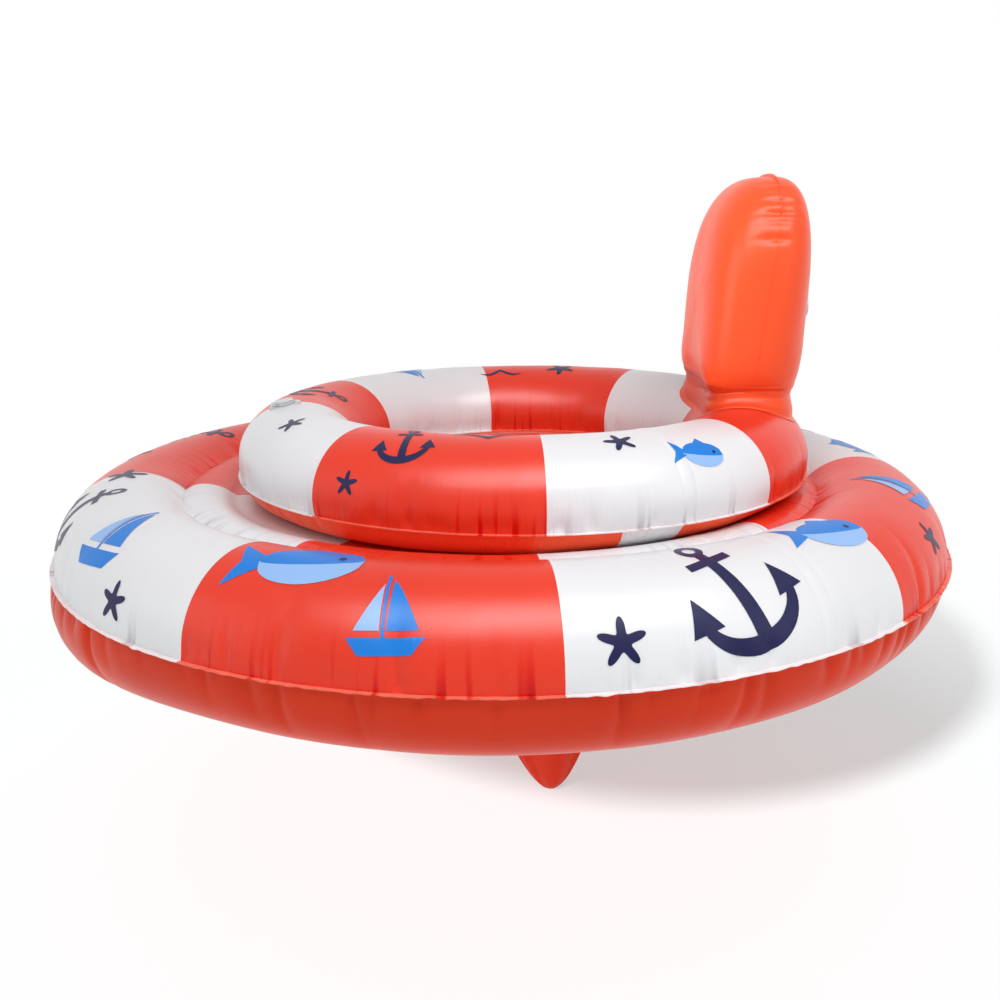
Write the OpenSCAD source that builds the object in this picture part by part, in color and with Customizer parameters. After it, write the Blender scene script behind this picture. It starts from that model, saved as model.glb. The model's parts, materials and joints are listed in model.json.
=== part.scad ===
// Inflatable baby swim seat: a striped float of two welded tubes, a third ring
// tube on top of them, an upright backrest and a hanging film seat with two leg holes.
// Z = 0 is the outer weld of the float, which is also its waterline. The origin is
// the centre of that weld. +X points from the baby's lap to the backrest.

/* [Film] */
// Thickness of the PVC film
film_t = 0.3; // [0.2:0.05:0.5]
// Width of the flat weld lips
lip_w = 4; // [2:0.5:6]

/* [Base float] */
// Radius of the outer tube's section
outer_tube_r = 50; // [42:0.5:58]
// How far the weld between the two tubes lies inside the middle of the outer tube
web_in = 35; // [28:0.5:40]
// Width of the inner tube's bulge, from the deck to that weld
lobe_w = 35; // [28:0.5:44]
// Radius of the hole in the float, at its inner weld
hole_r = 134; // [128:1:138]
// Height of the flat deck on which the upper ring is welded
deck_z = 30; // [27:0.5:31]
// How far the inner tube bulges above the deck beside the upper ring
lobe_rise = 11; // [8:0.5:12]
// How far the inner tube bulges below the waterline
keel_drop = 47; // [42:0.5:52]

/* [Upper ring] */
// How far the upper ring sits behind the centre of the float
ring_shift = 16; // [14:0.5:17]
// Radius of the circle through the middle of the ring's section
ring_mid_r = 159; // [157:0.5:160]
// Half of the ring section's width
ring_half_w = 43; // [41:0.5:45]
// Height of the ring section above its widest level
ring_half_h = 38; // [34:0.5:42]
// Height of the widest level above the deck
ring_level = 28; // [26:0.5:32]
// How far the ring's two welds lie below the widest level
ring_seam_drop = 10; // [7:0.5:12]
// Width of the ring's flat underside, outside the middle of its section
ring_flat_out = 13; // [10:0.5:13]
// Width of the ring's flat underside, inside the middle of its section
ring_flat_in = 18; // [12:0.5:20]
// Width of the weld band that joins the ring to the deck
weld_band_w = 8; // [5:0.5:9]
// Thickness of the weld band
weld_band_t = 0.4; // [0.2:0.1:0.8]

/* [Backrest] */
// Height of the backrest above the ring
back_h = 149; // [120:1:180]
// Width of the backrest
back_w = 142; // [120:1:160]
// Thickness of the backrest
back_t = 76; // [60:1:84]
// Height of the thickest level above the foot
back_belly = 60; // [50:1:70]
// How far the back weld lies behind the middle of the backrest
back_seam = 7; // [2:0.5:14]
// Lean of the backrest, in degrees
back_lean = 1.5; // [0:0.5:6]
// Clear height under the backrest's foot
foot_gap = 0.6; // [0.4:0.1:0.8]
// Half angle of the weld strip under the foot, in degrees
foot_angle = 27; // [20:1:32]
// Width of that weld strip
foot_w = 14; // [8:1:18]

/* [Seat] */
// Depth of the seat's tip below the ring's inner weld
seat_depth = 265.5; // [220:0.5:280]
// How far the tip lies behind the middle of the ring
seat_tip_shift = 22; // [10:1:26]
// Height of the hem's skirt
hem_h = 7; // [4:0.5:10]
// Clearance between the hem and the seat film
hem_gap = 0.3; // [0.2:0.1:0.6]
// Thickness of the seat film
seat_t = 0.5; // [0.4:0.1:0.8]
// Height of the leg holes' centres above the tip
leg_z = 122; // [112:1:130]
// Half height of a leg hole
leg_half_h = 46; // [38:1:50]
// Half width of a leg hole, along the film
leg_half_w = 42; // [34:1:46]
// Direction of a leg hole from the front, in degrees
leg_turn = 74; // [68:1:80]
// Width of the welded rim round a leg hole
rim_w = 7; // [4:0.5:9]
// Thickness of that rim
rim_t = 0.6; // [0.4:0.1:1]

/* [Valves] */
// Radius of a valve's flange
flange_r = 11; // [9.5:0.1:12]
// Thickness of a valve's flange
flange_t = 2.9; // [2.6:0.1:3.2]
// How far the flange stands above the film
flange_proud = 0.6; // [0.3:0.1:1]
// Clearance of the film round a flange
flange_gap = 0.3; // [0.2:0.1:0.6]
// Outer radius of a valve's stem
stem_r = 6; // [5.5:0.1:6.4]
// Radius of the stem's bore
bore_r = 4.2; // [3.8:0.1:4.4]
// Radial running clearance of the stem in its flange
stem_fit = 0.05; // [0.02:0.01:0.1]
// Radial running clearance of the plug's shank in the bore
plug_fit = 0.08; // [0.05:0.01:0.1]
// How far a stem pulls out
stem_travel = 7; // [5:0.5:8]
// Length of the sleeve under the flange
sleeve_l = 4; // [3:0.5:5]
// Gap between valve pieces that move past each other
valve_gap = 0.3; // [0.2:0.05:0.4]
// Length of a plug's shank
shank_l = 3.6; // [3:0.1:3.8]
// Thickness of the check flap
flap_t = 0.6; // [0.4:0.1:0.8]

/* [Valve places] */
// Direction of the outer tube's valve
outer_valve_turn = 90; // [60:1:120]
// Direction of the inner tube's valve, on the underside
inner_valve_turn = 90; // [60:1:120]
// Direction of the upper ring's valve
ring_valve_turn = 191; // [185:1:200]
// Place of the ring's valve round the section, 90 being the top
ring_valve_lift = 78; // [70:1:90]

/* [Hidden] */

red = "tomato";
orange = "orangered";
clear = "whitesmoke";

// The lathe steps of the rings, of the small valve parts and of the soft skins
ring_fn = 120;
valve_fn = 40;
skin_n = 48;
// Points on each rounded stretch of a section
arc_n = 12;

// Upper ring: levels, welds and flat underside
ring_z = deck_z + weld_band_t + ring_level;
ring_top = ring_z + ring_half_h;
ring_foot_z = deck_z + weld_band_t;
seam_turn = asin((ring_seam_drop - film_t) / ring_half_h);
seam_half_w = ring_half_w * cos(seam_turn);
ring_seam_z = ring_z - ring_seam_drop;
ring_in_r = ring_mid_r - seam_half_w;
ring_out_r = ring_mid_r + seam_half_w;
flat_out_r = ring_mid_r + ring_flat_out;
flat_in_r = ring_mid_r - ring_flat_in;
// The deck reaches a little past the ring's flat underside, where the ring lies furthest back
deck_out_r = ring_shift + flat_out_r + 2;
deck_in_r = hole_r + 10;

// Base float: the weld between the tubes, the outer tube's middle and the outer weld, and
// the valley that the film makes over the weld between the tubes
web_r = deck_out_r + lobe_w;
tube_c = web_r + web_in;
seam_r = tube_c + outer_tube_r;
valley_z = sqrt(outer_tube_r * outer_tube_r - web_in * web_in);
valley_turn = acos(-web_in / outer_tube_r);
weld_start = asin(film_t / outer_tube_r);

// Backrest: foot above the weld strip on the ring's crest
strip_t = weld_band_t;
foot_z = ring_top + strip_t + foot_gap;
back_x = ring_shift + ring_mid_r;
back_crown = back_h - back_belly;
// Roundness of the backrest's outline, from 2 for an ellipse upwards
crown_round = 2.5;
foot_round = 6;
// How much of the foot's curve along the ring is left at the crown
crown_curve = 0.1;
// The back weld's lip, full at the crown and almost nothing at the foot
back_lip = lip_w / 2;

// Seat: the pouch hangs inside the hem
hem_r = ring_in_r - lip_w - film_t;
pouch_r = hem_r - film_t - hem_gap;
pouch_top = ring_seam_z - 2 * film_t - 2;
tip_z = ring_seam_z - seat_depth;
pouch_h = pouch_top - tip_z;
tip_round = 20;

// Valves: levels along a valve's own axis, 0 being the film's outer face
flange_top = flange_proud;
flange_low = flange_top - flange_t;
sleeve_low = flange_low - sleeve_l;
sleeve_r = stem_r + 1.5;
collar_low = flange_top + valve_gap;
collar_top = collar_low + 1.1;
collar_r = stem_r + 1.4;
stop_top = sleeve_low - stem_travel - valve_gap;
stop_h = 0.8;
stem_low = stop_top - stop_h;
lid_low = collar_top + valve_gap;
lid_t = 1.3;
lid_r = stem_r + 0.2;
hinge_x = stem_r + 2.5;
hinge_z = lid_low + lid_t / 2;
bead_r = 0.75;
bead_w = 4;
flap_r = bore_r + 0.9;
flap_x = flap_r + 0.2;
flap_z = stem_low - valve_gap - flap_t / 2;

// ---- Outlines -------------------------------------------------------------------------

function along(n) = [for (i = [0:n]) i / n];
function arc(c, rx, rz, a0, a1, n = arc_n) =
  [for (t = along(n)) let (a = a0 + (a1 - a0) * t) c + [rx * cos(a), rz * sin(a)]];
function curve_at(p, t) = pow(1 - t, 3) * p[0] + 3 * t * pow(1 - t, 2) * p[1]
  + 3 * t * t * (1 - t) * p[2] + pow(t, 3) * p[3];
function curve(p, n = arc_n) = [for (t = along(n)) curve_at(p, t)];
function unit(v) = v / norm(v);
function left_of(v) = [-v[1], v[0]];
// A path moved to its left by t, with mitred corners
function moved(path, t) = [for (i = [0:len(path) - 1])
  let (
    a = unit(path[min(i + 1, len(path) - 1)] - path[min(i, len(path) - 2)]),
    b = unit(path[max(i, 1)] - path[max(i - 1, 0)]),
    m = unit(left_of(a) + left_of(b)))
  path[i] + m * t / (m * left_of(a))];
function reversed(v) = [for (i = [len(v) - 1:-1:0]) v[i]];
// The closed section of a film whose outer face follows the path
function film(path, t = film_t) = concat(path, reversed(moved(path, t)));
function flipped(path) = [for (p = path) [p[0], -p[1]]];
// The closed section of a film over both tubes of the float, with its half of the weld
// between them: side is 1 above the waterline and -1 below it
function float_film(inner, outer, side) =
  let (
    a = moved(inner, -side * film_t),
    b = moved(outer, -side * film_t),
    web_z = side * (valley_z - film_t / 2))
  concat(inner, [for (i = [1:len(outer) - 1]) outer[i]], [for (i = [len(b) - 1:-1:1]) b[i]],
    [[web_r + film_t, web_z], [web_r + film_t, 0], [web_r - film_t, 0], [web_r - film_t, web_z]],
    [for (i = [len(a) - 2:-1:0]) a[i]]);

module lathe(section) rotate_extrude($fn = ring_fn) polygon(section);
module about_ring() translate([ring_shift, 0, 0]) children();

// The inner tube's bulge beside the ring, from the deck to the valley
lobe = [[deck_out_r, deck_z], [deck_out_r + 0.37 * lobe_w, deck_z + lobe_rise + 1],
  [web_r - 0.17 * lobe_w, deck_z + lobe_rise], [web_r, valley_z]];
// The inner tube's wall round the hole, from its weld to the deck
throat = [[hole_r, film_t], [hole_r - 3, deck_z / 2], [hole_r + 1, deck_z - 3], [deck_in_r, deck_z]];
// The inner tube's underside, from its weld to the valley
keel = [[hole_r, -film_t], [hole_r + 4, -keel_drop - 3], [web_r - 13, -keel_drop],
  [web_r, -valley_z]];
// The ring's lower wall, outside and inside
ring_skirt_out = [[flat_out_r, ring_foot_z], [flat_out_r + 10, ring_foot_z + 5],
  [ring_out_r - 5, ring_seam_z - 5], [ring_out_r, ring_seam_z - film_t]];
ring_skirt_in = [[ring_in_r, ring_seam_z - film_t], [ring_in_r + 1, ring_seam_z - 8],
  [flat_in_r - 9, ring_foot_z + 1], [flat_in_r, ring_foot_z]];

inner_top_path = concat([[hole_r - lip_w, film_t]], curve(throat), curve(lobe));
outer_top_path = concat(reversed(arc([tube_c, 0], outer_tube_r, outer_tube_r, weld_start, valley_turn, 2 * arc_n)),
  [[seam_r + lip_w, film_t]]);
inner_bottom_path = concat([[hole_r - lip_w, -film_t]], curve(keel, 2 * arc_n));
ring_top_path = concat([[ring_in_r - lip_w, ring_seam_z + film_t]],
  arc([ring_mid_r, ring_z], ring_half_w, ring_half_h, 180 + seam_turn, -seam_turn, 2 * arc_n),
  [[ring_out_r + lip_w / 2, ring_seam_z + film_t]]);
ring_bottom_path = concat([[ring_in_r - lip_w, ring_seam_z - film_t]], curve(ring_skirt_in),
  curve(ring_skirt_out), [[ring_out_r + lip_w / 2, ring_seam_z - film_t]]);

// ---- Skins: closed lofts between two poles, made of rings of points --------------------

module skin(pole_a, rings, pole_b) {
  n = len(rings[0]);
  m = len(rings);
  last = m * n + 1;
  function at(k, i) = 1 + k * n + i % n;
  polyhedron(
    concat([pole_a], [for (ring = rings) each ring], [pole_b]),
    concat(
      [for (i = [0:n - 1]) [0, at(0, i), at(0, i + 1)]],
      [for (k = [0:m - 2], i = [0:n - 1]) each [
        [at(k, i), at(k + 1, i), at(k + 1, i + 1)],
        [at(k, i), at(k + 1, i + 1), at(k, i + 1)]]],
      [for (i = [0:n - 1]) [last, at(m - 1, i + 1), at(m - 1, i)]]));
}

// A closed band, such as a rim, made of the same few points repeated round a loop
module band(sections) {
  n = len(sections);
  m = len(sections[0]);
  polyhedron([for (s = sections) each s],
    [for (k = [0:n - 1], i = [0:m - 1])
      let (a = k * m, b = ((k + 1) % n) * m, j = (i + 1) % m)
      each [[a + i, a + j, b + j], [a + i, b + j, b + i]]]);
}

// ---- Backrest, in its own frame: the middle of its foot is at the origin -----------------

// A point of the flat backrest, leant back and curved so that its foot follows the ring
function stood(p) =
  let (
    sag = ring_mid_r - sqrt(ring_mid_r * ring_mid_r - p[1] * p[1]),
    share = 1 - (1 - crown_curve) * p[2] / back_h)
  [p[0] - sag * share + p[2] * tan(back_lean), p[1], p[2]];

// The weld's outline in direction u, and the same outline shrunk towards the belly
function power(v, e) = sign(v) * pow(abs(v), e);
function outline(u, grow = 0) =
  let (e = 2 / (sin(u) > 0 ? crown_round : foot_round))
  [(back_w / 2 + grow) * power(cos(u), e),
   ((sin(u) > 0 ? back_crown : back_belly) + grow) * power(sin(u), e)];
function roundness(u) = sin(u) > 0 ? crown_round : foot_round + (crown_round - foot_round) * pow(cos(u), 2);
// One point of a dome of the given depth over the outline, from 0 at the belly to 1 at the weld
function dome_at(u, s, depth, grow = 0) =
  let (o = outline(u, grow) * s, q = roundness(u))
  stood([back_seam + depth * pow(1 - pow(s, q), 1 / q), o[0], back_belly + o[1]]);
function dome_ring(s, depth, grow = 0) =
  [for (i = [0:skin_n - 1]) dome_at(360 * i / skin_n, s, depth, grow)];
function lip_ring(x) = [for (i = [0:skin_n - 1])
  let (u = 360 * i / skin_n, o = outline(u, back_lip * (0.55 + 0.45 * sin(u))))
  stood([back_seam + x, o[0], back_belly + o[1]])];
dome_steps = [for (i = [1:arc_n]) sin(90 * i / (arc_n + 0.5))];

// A dome of film, its weld lip included; side is -1 for the front and 1 for the rear
module back_panel(depth, side) {
  inner = depth - film_t;
  skin(stood([back_seam + side * inner, 0, back_belly]),
    concat(
      [for (s = dome_steps) dome_ring(s, side * inner, -film_t)],
      [dome_ring(1, 0, -film_t), lip_ring(0), lip_ring(side * film_t)],
      [for (s = reversed(dome_steps)) dome_ring(s, side * depth)]),
    stood([back_seam + side * depth, 0, back_belly]));
}

// ---- Seat pouch: a bag that narrows from the hem to a rounded tip ------------------------

pouch_curve = [[0, 0], [tip_round, 0], [tip_round + 15, pouch_h / 4], [pouch_r, pouch_h]];
pouch_path = curve(pouch_curve, 2 * arc_n);
pouch_lining = moved(pouch_path, seat_t);
pouch_table = [for (p = pouch_path) [p[1], p[0]]];
function pouch_radius(h) = lookup(h, pouch_table);
function pouch_middle(h) = ring_shift + seat_tip_shift * (1 - h / pouch_h);
function pouch_ring(p) = [for (i = [0:skin_n - 1]) let (a = 360 * i / skin_n)
  [pouch_middle(p[1]) + p[0] * cos(a), p[0] * sin(a), tip_z + p[1]]];
// A point of the film at height h above the tip, in direction a, and out from the film by o
function pouch_at(a, h, o) =
  let (
    n = unit([2, pouch_radius(h - 1) - pouch_radius(h + 1)]),
    r = pouch_radius(h) + o * n[0])
  [pouch_middle(h) + r * cos(a), r * sin(a), tip_z + h + o * n[1]];
// The edge of a leg hole grown by e, at step f round it
function leg_edge(turn, f, e, o) =
  let (h = leg_z + (leg_half_h + e) * sin(f))
  pouch_at(turn + (leg_half_w + e) * cos(f) / pouch_radius(leg_z) * 180 / PI, h, o);

module leg_cutter(turn) {
  inside = [for (i = [0:skin_n - 1]) leg_edge(turn, 360 * i / skin_n, 0, -12)];
  outside = [for (i = [0:skin_n - 1]) leg_edge(turn, 360 * i / skin_n, 0, 12)];
  skin(pouch_at(turn, leg_z, -12), [inside, outside], pouch_at(turn, leg_z, 12));
}

module leg_rim(turn) color(orange)
  band([for (i = [0:skin_n - 1]) let (f = 360 * i / skin_n) [
    leg_edge(turn, f, 0.5, hem_gap), leg_edge(turn, f, rim_w, hem_gap),
    leg_edge(turn, f, rim_w, hem_gap + rim_t), leg_edge(turn, f, 0.5, hem_gap + rim_t)]]);

// ---- Valves, standing along +Z on the film's outer face ----------------------------------

module ring_body(r, z0, z1) translate([0, 0, z0]) cylinder(r = r, h = z1 - z0, $fn = valve_fn);
module bar(x0, x1, w, z0, z1) translate([x0, -w / 2, z0]) cube([x1 - x0, w, z1 - z0]);
module cross_pin(x, z, r, w) translate([x, w / 2, z]) rotate([90, 0, 0]) cylinder(r = r, h = w, $fn = valve_fn);
module valve_hole() ring_body(flange_r + flange_gap, -3 * flange_t, 3 * flange_t);

module valve_flange() color(clear) difference() {
  union() {
    ring_body(flange_r, flange_low, flange_top);
    ring_body(sleeve_r, sleeve_low, flange_low);
  }
  ring_body(stem_r + stem_fit, sleeve_low - 1, flange_top + 1);
}

module valve_stem() color(clear) difference() {
  union() {
    ring_body(stem_r, stem_low, collar_top);
    ring_body(collar_r, collar_low, collar_top);
    ring_body(stem_r + 1, stem_low, stop_top);
    bar(0, hinge_x + bead_r, bead_w, collar_low, collar_top);
  }
  ring_body(bore_r, stem_low - 1, collar_top + 1);
}

module valve_plug() color(clear) {
  ring_body(lid_r, lid_low, lid_low + lid_t);
  translate([0, 0, lid_low - shank_l])
    cylinder(r1 = bore_r - 1.1, r2 = bore_r - plug_fit, h = shank_l, $fn = valve_fn);
  bar(lid_r - 1, hinge_x, bead_w, hinge_z - 0.4, hinge_z + 0.4);
  cross_pin(hinge_x, hinge_z, bead_r, bead_w);
}

module valve_flap() color(clear) {
  ring_body(flap_r, flap_z - flap_t / 2, flap_z + flap_t / 2);
  cross_pin(flap_x, flap_z, flap_t / 2, bead_w);
}

// ---- Places of the four valves --------------------------------------------------------------

module at_outer_valve() rotate([0, 0, outer_valve_turn]) translate([tube_c, 0, outer_tube_r]) children();

keel_point = curve_at(keel, 0.5);
keel_dir = curve_at(keel, 0.51) - curve_at(keel, 0.49);
module at_inner_valve() rotate([0, 0, inner_valve_turn]) translate([keel_point[0], 0, keel_point[1]])
  rotate([0, atan2(keel_dir[1], -keel_dir[0]), 0]) children();

module at_ring_valve() about_ring() rotate([0, 0, ring_valve_turn])
  translate([ring_mid_r + ring_half_w * cos(ring_valve_lift), 0, ring_z + ring_half_h * sin(ring_valve_lift)])
  rotate([0, atan2(cos(ring_valve_lift) / ring_half_w, sin(ring_valve_lift) / ring_half_h), 0]) children();

module at_backrest() translate([back_x, 0, foot_z]) children();
module at_back_valve() at_backrest() translate(stood([back_t / 2, 0, back_belly]))
  rotate([0, 90 + back_lean, 0]) children();

// ---- Sub-parts --------------------------------------------------------------------------------

module base_top_film() color(red) difference() {
  lathe(float_film(inner_top_path, outer_top_path, 1));
  at_outer_valve() valve_hole();
}

module base_bottom_film() color(orange) difference() {
  lathe(float_film(inner_bottom_path, flipped(outer_top_path), -1));
  at_inner_valve() valve_hole();
}

module ring_weld_band() color(clear) about_ring()
  lathe([for (p = [[-weld_band_w - 1, 0], [-1, 0], [-1, weld_band_t], [-weld_band_w - 1, weld_band_t]])
    [flat_out_r, deck_z] + p]);

module upper_ring_top_film() color(red) difference() {
  about_ring() lathe(film(ring_top_path, -film_t));
  at_ring_valve() valve_hole();
}

module upper_ring_bottom_film() color(orange) about_ring() lathe(film(ring_bottom_path));

module backrest_weld_strip() color(orange) about_ring() rotate([0, 0, -foot_angle])
  rotate_extrude(angle = 2 * foot_angle, $fn = ring_fn)
    polygon(film(arc([ring_mid_r, ring_z], ring_half_w + strip_t, ring_half_h + strip_t,
      90 + foot_w / ring_half_w * 90 / PI, 90 - foot_w / ring_half_w * 90 / PI), -strip_t * 0.95));

module backrest_front_film() color(orange) at_backrest() back_panel(back_t / 2 + back_seam, -1);

module backrest_rear_film() color(orange) difference() {
  at_backrest() back_panel(back_t / 2 - back_seam, 1);
  at_back_valve() valve_hole();
}

module seat_hem() color(orange) about_ring() lathe([
  [hem_r - film_t, ring_seam_z - 2 * film_t - hem_h], [hem_r, ring_seam_z - 2 * film_t - hem_h],
  [hem_r, ring_seam_z - 2 * film_t], [ring_in_r - 1, ring_seam_z - 2 * film_t],
  [ring_in_r - 1, ring_seam_z - film_t], [hem_r - film_t, ring_seam_z - film_t]]);

module seat_pouch() color(orange) difference() {
  skin([pouch_middle(0), 0, tip_z],
    concat(
      [for (i = [1:len(pouch_path) - 1]) pouch_ring(pouch_path[i])],
      [for (i = [len(pouch_path) - 1:-1:1]) pouch_ring([max(pouch_lining[i][0], 0.5), pouch_lining[i][1]])]),
    [pouch_middle(0), 0, tip_z + seat_t]);
  for (side = [-1, 1]) leg_cutter(180 + side * leg_turn);
}

module leg_rim_left() leg_rim(180 + leg_turn);
module leg_rim_right() leg_rim(180 - leg_turn);

base_top_film();
base_bottom_film();
ring_weld_band();
upper_ring_top_film();
upper_ring_bottom_film();
backrest_weld_strip();
backrest_front_film();
backrest_rear_film();
seat_hem();
seat_pouch();
leg_rim_left();
leg_rim_right();
at_outer_valve() valve_flange();  // outer_valve_flange
at_outer_valve() valve_stem();  // outer_valve_stem
at_outer_valve() valve_plug();  // outer_valve_plug
at_outer_valve() valve_flap();  // outer_valve_flap
at_inner_valve() valve_flange();  // inner_valve_flange
at_inner_valve() valve_stem();  // inner_valve_stem
at_inner_valve() valve_plug();  // inner_valve_plug
at_inner_valve() valve_flap();  // inner_valve_flap
at_ring_valve() valve_flange();  // ring_valve_flange
at_ring_valve() valve_stem();  // ring_valve_stem
at_ring_valve() valve_plug();  // ring_valve_plug
at_ring_valve() valve_flap();  // ring_valve_flap
at_back_valve() valve_flange();  // back_valve_flange
at_back_valve() valve_stem();  // back_valve_stem
at_back_valve() valve_plug();  // back_valve_plug
at_back_valve() valve_flap();  // back_valve_flap
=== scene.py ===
"""Inflatable baby swim seat: film skins, prints, seat film and studio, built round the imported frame."""
import json
import math
from math import cos, pi, radians, sin, tau

import bpy
import numpy as np
from mathutils import Matrix, Quaternion, Vector
from mathutils.bvhtree import BVHTree
from mathutils.geometry import delaunay_2d_cdt


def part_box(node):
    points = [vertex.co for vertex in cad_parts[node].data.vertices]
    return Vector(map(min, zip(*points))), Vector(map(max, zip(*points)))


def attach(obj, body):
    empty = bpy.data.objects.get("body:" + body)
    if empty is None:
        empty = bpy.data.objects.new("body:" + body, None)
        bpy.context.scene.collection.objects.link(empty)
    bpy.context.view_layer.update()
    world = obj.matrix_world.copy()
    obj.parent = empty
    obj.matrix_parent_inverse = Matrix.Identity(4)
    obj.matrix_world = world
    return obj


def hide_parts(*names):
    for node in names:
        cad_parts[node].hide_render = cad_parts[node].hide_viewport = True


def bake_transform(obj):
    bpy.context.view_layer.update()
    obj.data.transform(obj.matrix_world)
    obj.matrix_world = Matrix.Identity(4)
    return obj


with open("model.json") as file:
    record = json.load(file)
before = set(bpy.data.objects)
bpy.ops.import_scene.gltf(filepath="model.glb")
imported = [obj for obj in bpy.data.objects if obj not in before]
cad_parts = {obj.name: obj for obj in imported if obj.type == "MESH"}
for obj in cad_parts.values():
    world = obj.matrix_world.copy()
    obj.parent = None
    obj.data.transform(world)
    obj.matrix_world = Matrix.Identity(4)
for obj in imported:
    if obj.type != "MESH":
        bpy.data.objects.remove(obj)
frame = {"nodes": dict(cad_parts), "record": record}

bl_info = {
    "name": "Baby swim seat",
    "version": (1, 0, 0),
    "blender": (4, 5, 0),
    "location": "3D View > Sidebar > Swim Seat",
    "description": "Builds the skins, prints, seat film and studio of an inflatable baby swim seat",
    "category": "Object",
}

# ---- Photograph ----

IMAGE_SIZE = 1000
FLOAT_STRIPES = [(559, 640), (175, 630), (135, 471), (893, 587), (850, 457)]
RING_STRIPES = [(541, 490), (314, 477), (302, 401), (369, 389), (490, 390), (616, 386), (763, 466)]
RING_TAB = [(612, 541), (668, 535)]
RING_LAP = (686, 470)
FLOAT_LAP = (825, 600)

CAMERA_PLACE = Vector((0.0, -0.80052, 0.22116))
CAMERA_AIM = Vector((-0.0001, 0.0042, 0.0168))
CAMERA_ROLL = radians(-0.48)
CAMERA_LENS = 40.18
SENSOR = 36.0

# ---- Sizes in metres, from the frame where it has them ----

FILM = 0.0003
LIP, LIP_SEEN = 0.004, 0.0026
FLOAT_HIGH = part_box("base_top_film")[1]
RING_LOW, RING_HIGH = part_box("upper_ring_top_film")
POUCH_LOW, POUCH_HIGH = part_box("seat_pouch")
HEM_LOW, HEM_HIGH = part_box("seat_hem")

TUBE_R = FLOAT_HIGH.z
FLOAT_R = FLOAT_HIGH.x - LIP
WEB_IN = 0.035
TUBE_MID = FLOAT_R - TUBE_R
WEB_R = TUBE_MID - WEB_IN
VALLEY_Z = math.sqrt(TUBE_R ** 2 - WEB_IN ** 2)
HOLE_R = 0.134
DECK_Z = 0.030
DECK_IN, DECK_OUT = 0.144, 0.190
# The float's bottom bulges at the photo's left: the bulge's depth, turn and spread
BULGE, BULGE_TURN, BULGE_SPREAD = 0.012, radians(207), radians(19)

RING_X = (RING_LOW.x + RING_HIGH.x) / 2
RING_OUT = (RING_HIGH.x - RING_LOW.x) / 2 - LIP / 2
RING_MID = 0.159
RING_HALF_W, RING_HALF_H = 0.043, 0.038
RING_TOP = RING_HIGH.z
RING_LEVEL = RING_TOP - RING_HALF_H
RING_SEAM = RING_LOW.z
RING_IN = 2 * RING_MID - RING_OUT
RING_FOOT = DECK_Z + 0.0004
# The ring's underside stands out at the front: how far, and how wide the stretch that does
SKIRT_FULL, SKIRT_WIDE = 0.0052, 0.036

BACK_X = RING_X + RING_MID
BACK_W, BACK_H = 0.142, 0.149
BACK_BELLY = 0.060
BACK_SEAM = 0.007
BACK_FRONT, BACK_REAR = 0.0440, 0.0293
BACK_LEAN = math.tan(radians(1.5))
BACK_CURVE = 0.9
CROWN_ROUND, FOOT_ROUND = 2.75, 4.8
# Dents in the seam over the shoulders: degrees round the outline and depth
SHOULDER_DENTS = [(59, 0.0010), (50, 0.0022), (41, 0.0025), (34.5, 0.0012), (26, 0.0020)]
DENT_WIDTH, DENT_REACH = 0.0023, 0.0125
FOOT_Z = RING_TOP + 0.001
# The loose film at the foot: height, widest reach from the ring's crest, and gap over the ring
BOOT_H, BOOT_REACH, BOOT_GAP = 0.013, 0.0400, 0.0006
BOOT_WAIST, BOOT_CREASE = -0.0022, -0.0010

POUCH_R = (POUCH_HIGH.y - POUCH_LOW.y) / 2
POUCH_TIP = POUCH_LOW.z
POUCH_H = POUCH_HIGH.z - POUCH_LOW.z
TIP_SHIFT, TIP_ROUND = 0.022, 0.020
LEG_Z, LEG_HALF_H, LEG_HALF_W = 0.122, 0.046, 0.042
LEG_TURN = radians(74)
# The pouch's half section, from its tip to its mouth
POUCH_CORNERS = [[0, 0], [TIP_ROUND, 0], [TIP_ROUND + 0.015, POUCH_H / 4], [POUCH_R, POUCH_H]]
RIM_W, RIM_HALF_T = 0.007, 0.0009

VALVE_HOLE_R, VALVE_HOLE_DEPTH = 0.0095, 0.012
PRINT_RISE, INK_RISE = 0.00028, 0.00006
# How fast the bumped creases, and the painted shade in the creases, of the materials fade away from a weld
WELD_FADE = 0.014
# A turn at the front where float and ring are both white
WHITE_TURN = radians(296)

# ---- Fineness of the meshes ----

GUIDE_STEPS, FLOAT_STEPS, RING_STEPS = 240, 1260, 1020
BACK_AROUND, BACK_ROWS = 320, 44
BOOT_AROUND, BOOT_ROWS = 400, 22
SEAT_AROUND, SEAT_ROWS = 336, 124
RIM_AROUND, HEM_AROUND = 180, 360
INK_EDGE, INK_GRID = 0.003, 0.0035
SHARP = radians(50)
# Where a ray that misses a tube is probed for the nearest film: distance from the camera, length and count
PROBE_NEAR, PROBE_SPAN, PROBES = 0.45, 0.8, 200
# Places within this share of a leg hole's edge are drawn onto it, and those further in are cut away
LEG_SNAP, LEG_CUT = 0.90, 0.995
# Two of the ring's stripe edges nearer than this are one
SAME_EDGE = radians(12)

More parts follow.
